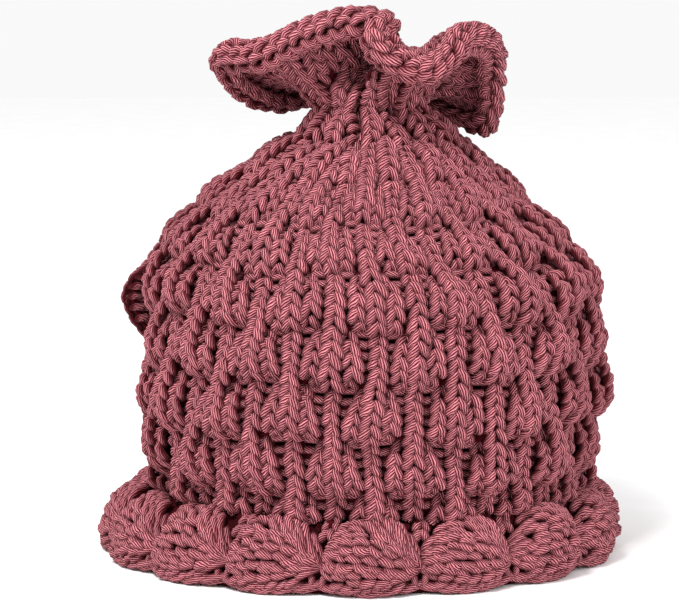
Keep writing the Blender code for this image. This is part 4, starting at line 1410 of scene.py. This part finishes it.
def puff_arcs(middles):
    """Rows of leaves that run over each puff from one pinched place to the next."""
    groups = []
    by_over, by_height, by_size = LEAF_STRAY
    for number, (over_middle, over_node, leaves, radius, proud, slant, wide) in enumerate(PUFF_ARCS):
        stray = stray_by(3, PUFFS, leaves, 1)
        centre = -1 + (2 * np.arange(leaves) + 1 + LEAF_SHIFT * (number % 2)) / leaves
        reach = np.clip(centre[:, None] + LEAF[:, 0] * LEAF_REACH / leaves, -PUFF_END, PUFF_END) * wide
        bulge = np.cos(np.pi / 2 * np.clip(reach, -1, 1)) ** PUFF_BULGE
        over = over_node + (over_middle - over_node) * bulge - slant * LEAF[:, 0] + by_over * stray[0]
        thin = 1 - LEAF_THINS * np.abs(reach) ** 3
        groups.append(border_group(
            middles + HALF_PUFF * reach, over, proud + LEAF[:, 1] + by_height * stray[2],
            radius * thin * LEAF[:, 2] * (1 + by_size * stray[1])))
    return groups


def puff_bumps(middles):
    """Purl bumps in the middle of each puff."""
    groups = []
    by_reach, by_slant, by_over, by_height, by_size = BUMP_STRAY
    tilt = rng.normal(0, PUFF_TILT, (PUFFS, 1, 1))
    for number, (over_middle, bumps, reach, hump, slant) in enumerate(PUFF_BUMPS):
        stray = stray_by(3, PUFFS, bumps, 1)
        pitch = 2 * reach / bumps
        centre = -reach + pitch * (np.arange(bumps) + 0.5 + BUMP_SHIFT * (-1) ** number)
        across = centre[:, None] + ARC[:, 0] * pitch + by_reach * stray[0]
        slanting = (slant + by_slant * stray[2]) * ARC[:, 0]
        drawn = NODE_OVER + (over_middle - NODE_OVER) * (1 - PUFF_CURVE * across ** 2)
        over = drawn + hump * ARC[:, 1] + slanting + tilt * across + by_over * stray[1]
        groups.append(border_group(
            middles + HALF_PUFF * across, over, BUMP_PROUD + BUMP_DIP * ARC[:, 2] + by_height * stray[2],
            BUMP_RADIUS * ARC[:, 3] * (1 + by_size * stray[0])))
    return groups


def pinched_strands(middles):
    """Strands that run together at the pinched places, and the stitches over and under them."""
    groups = []
    for side in (-1, 1):
        stray = stray_by(2, PUFFS, FAN_STRANDS, 1)
        along = FAN_REACH[0] + (FAN_REACH[1] - FAN_REACH[0]) * FAN[:, 0]
        spread = np.linspace(*FAN_OVER, FAN_STRANDS)[:, None] - NODE_OVER
        crossed = np.clip((FAN[:, 0] - FAN_MEET) / (1 - FAN_MEET), FAN_CROSS, 1)
        opened = np.sign(crossed) * np.abs(crossed) ** FAN_OPENS
        groups.append(border_group(
            middles + side * HALF_PUFF * along, NODE_OVER + spread * opened + FAN_STRAY[0] * stray[0],
            FAN[:, 1] + FAN_PROUD * side + FAN_STRAY[1] * stray[1], FAN_RADIUS * FAN[:, 2]))
    for leg, radius, _ in LEGS:
        stray = stray_by(2, PUFFS, len(NODE_STITCHES), 1)
        over = NODE_STITCHES[:, None] + NODE_ROW * leg[:, 0] + NODE_STRAY * stray[0]
        groups.append(border_group(middles + HALF_PUFF + NODE_WIDE * leg[:, 1], over,
                                   leg[:, 2] - NODE_SINK + NODE_STRAY * stray[1], radius * leg[:, 3]))
    # A short stitch stands under each pinched place, with an opening on either side of it.
    rise = np.linspace(0, 1, SHORT_RINGS)
    thick, thinner = SHORT_ENDS
    for lean in (-1, 1):
        angle = middles[:, 0] + HALF_PUFF + lean * HALF_PUFF * SHORT_ASIDE * (1 + rise)
        groups.append(border_group(angle, SHORT_OVER[0] + SHORT_OVER[1] * rise,
                                   SHORT_PROUD - SHORT_DIVE * np.abs(rise - 0.5) ** 1.5,
                                   SHORT_RADIUS * (thick - thinner * (2 * rise - 1) ** 4)))
    return groups


def puff_strands():
    """All the strands of the puffs."""
    middles = (PUFF_PHASE + 2 * HALF_PUFF * np.arange(PUFFS))[:, None, None]
    return puff_arcs(middles) + puff_bumps(middles) + pinched_strands(middles)


EDGE_LEAVES = 80
EDGE_REACH = 1.05           # a leaf's length over its pitch
# The two sides of the edge. Columns: lean, row of the section, height proud in mm, radius.
EDGE_SIDES = ((1, 1.45, 0.9, 1.75), (-1, 0.85, 0.5, 1.7))
EDGE_LEAN = 0.5             # rows that a leaf leans
EDGE_ON_TABLE = 1.7         # lowest middle of a leaf, mm
EDGE_PULL = 3.0             # how far the cast-on edge is drawn in at the pinched places, mm
EDGE_LIFT = 1.4             # and how far it is lifted off the table there, mm
EDGE_PINCH = 0.8            # below 1 the edge is drawn in less widely
EDGE_ROWS = (0.05, 13)      # lowest and highest row of the section that a leaf reaches
EDGE_STRAY = (0.1, 0.06)    # rows, and share of the thickness


def edge_chain():
    """The cast-on edge: leaves of yarn leaning one way above and the other way below."""
    pitch = 360 / EDGE_LEAVES
    at = pitch * np.arange(EDGE_LEAVES) + PUFF_PHASE
    groups = []
    for lean, level, lift, radius in EDGE_SIDES:
        stray = stray_by(2, EDGE_LEAVES, 1)
        angle = at[:, None] + LEAF[:, 0] * EDGE_REACH * pitch
        pinched = 1 - np.abs(np.sin(np.pi * (angle - PUFF_PHASE) / 360 * PUFFS + np.pi / 2)) ** EDGE_PINCH
        up = np.clip(level + lean * LEAF[:, 0] * EDGE_LEAN + EDGE_STRAY[0] * stray[0], *EDGE_ROWS)
        lines, ups = hem_point(angle, up, LEAF[:, 1] + lift - EDGE_PULL * pinched)
        lines[..., 2] = np.maximum(lines[..., 2], EDGE_ON_TABLE) + EDGE_LIFT * pinched
        groups.append((lines, ups, radius * LEAF[:, 2] * (1 + EDGE_STRAY[1] * stray[1]), CROSS))
    return groups


strands["border"] = [strand_object("border_puffs", puff_strands()),
                     strand_object("border_edge", edge_chain())]

# %% [markdown]
# ## What each piece is
#
# The three shells stand for the three solids of the frame, whose own parts are hidden. Each is a
# # sheet of knitting, and the strands go with it; every piece is attached to the root. A panel laid
# # flat is as wide as its wales and as long as its rows, with the rolled rim unrolled. The border laid
# # flat is as long as the middle of its ring and as wide as the way over its outside.

# %% Declarations
for piece in list(cloths.values()) + strands["front"] + strands["back"] + strands["border"]:
    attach(piece, "root")
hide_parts("front_panel")
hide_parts("back_panel")
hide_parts("hem_band")

# %% [markdown]
# ## Floor, light and camera
#
# A white card on the table and large soft lights, as for a catalogue picture.

# %% Studio
FLOOR_HALF = 2.0            # metres
CARD_GRAIN = 40.0           # scale of the faint grain of the card
CARD_TONES = ((0.0, "#F4F4F4"), (1.0, "#FBFBFB"))
# Columns: name, place, watts, size in metres.
LIGHTS = (
    ("key", (-0.40, -0.70, 1.15), 19.0, 0.40),
    ("fill", (0.85, -0.80, 0.55), 4.5, 0.7),
)
LIGHTS_AIM = np.array((0.0, 0.0, 0.1))
WORLD_LIGHT = 0.95
CAMERA_DISTANCE = 1.15
CAMERA_UP = math.radians(9.0)
CAMERA_LENS = 158.4
CAMERA_NEAR = 0.01
AIM = (-0.0065, 0.0, 0.0945)


def stand_at(name, data, location, rotation):
    """Puts a light or a camera into the scene."""
    made = bpy.data.objects.new(name, data)
    made.location = location
    made.rotation_euler = rotation
    bpy.context.scene.collection.objects.link(made)
    return made


def card_material():
    """Matt white card with a faint grain."""
    material, tree = new_material("matt_white_card")
    place_on_card = node(tree, "ShaderNodeTexCoord").outputs[3]
    grain = noise(tree, place_on_card, CARD_GRAIN)
    colour = colour_ramp(tree, grain, CARD_TONES)
    shader = node(tree, "ShaderNodeBsdfPrincipled", Base_Color=colour)
    return finished_material(material, shader, {"Roughness": 0.8})


floor_mesh = bpy.data.meshes.new("table")
floor_mesh.from_pydata([(x * FLOOR_HALF, y * FLOOR_HALF, 0) for x, y in ((-1, -1), (1, -1), (1, 1), (-1, 1))],
                       [], [(0, 1, 2, 3)])
floor_mesh.materials.append(card_material())
floor = bpy.data.objects.new("table", floor_mesh)
bpy.context.scene.collection.objects.link(floor)
floor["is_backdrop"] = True

world = bpy.data.worlds.new("studio")
bpy.context.scene.world = world
world.use_nodes = True
world.node_tree.nodes["Background"].inputs[0].default_value = (1.0, 1.0, 1.0, 1.0)
world.node_tree.nodes["Background"].inputs[1].default_value = WORLD_LIGHT
for light_name, light_place, watts, size in LIGHTS:
    lamp = bpy.data.lights.new(light_name, "AREA")
    lamp.energy = watts
    lamp.size = size
    aim = LIGHTS_AIM - np.array(light_place)
    turn_z = math.atan2(aim[1], aim[0]) - math.pi / 2
    stand_at(light_name, lamp, light_place,
             (math.pi / 2 + math.atan2(aim[2], math.hypot(aim[0], aim[1])), 0.0, turn_z))

camera_data = bpy.data.cameras.new("camera")
camera_data.lens = CAMERA_LENS
camera_data.clip_start = CAMERA_NEAR
bpy.context.scene.camera = stand_at(
    "camera", camera_data,
    (AIM[0], AIM[1] - CAMERA_DISTANCE * math.cos(CAMERA_UP), AIM[2] + CAMERA_DISTANCE * math.sin(CAMERA_UP)),
    (math.pi / 2 - CAMERA_UP, 0.0, 0.0))
bpy.context.scene.view_settings.view_transform = "Standard"
print("lights:", [light[0] for light in LIGHTS])

# %% [markdown]
# ## Size and finish
#
# The box around all the pieces is printed, in mm.

# %% Size and finish
low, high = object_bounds()
print("visual box, mm:", [round((b - a) / MM, 1) for a, b in zip(low, high)])
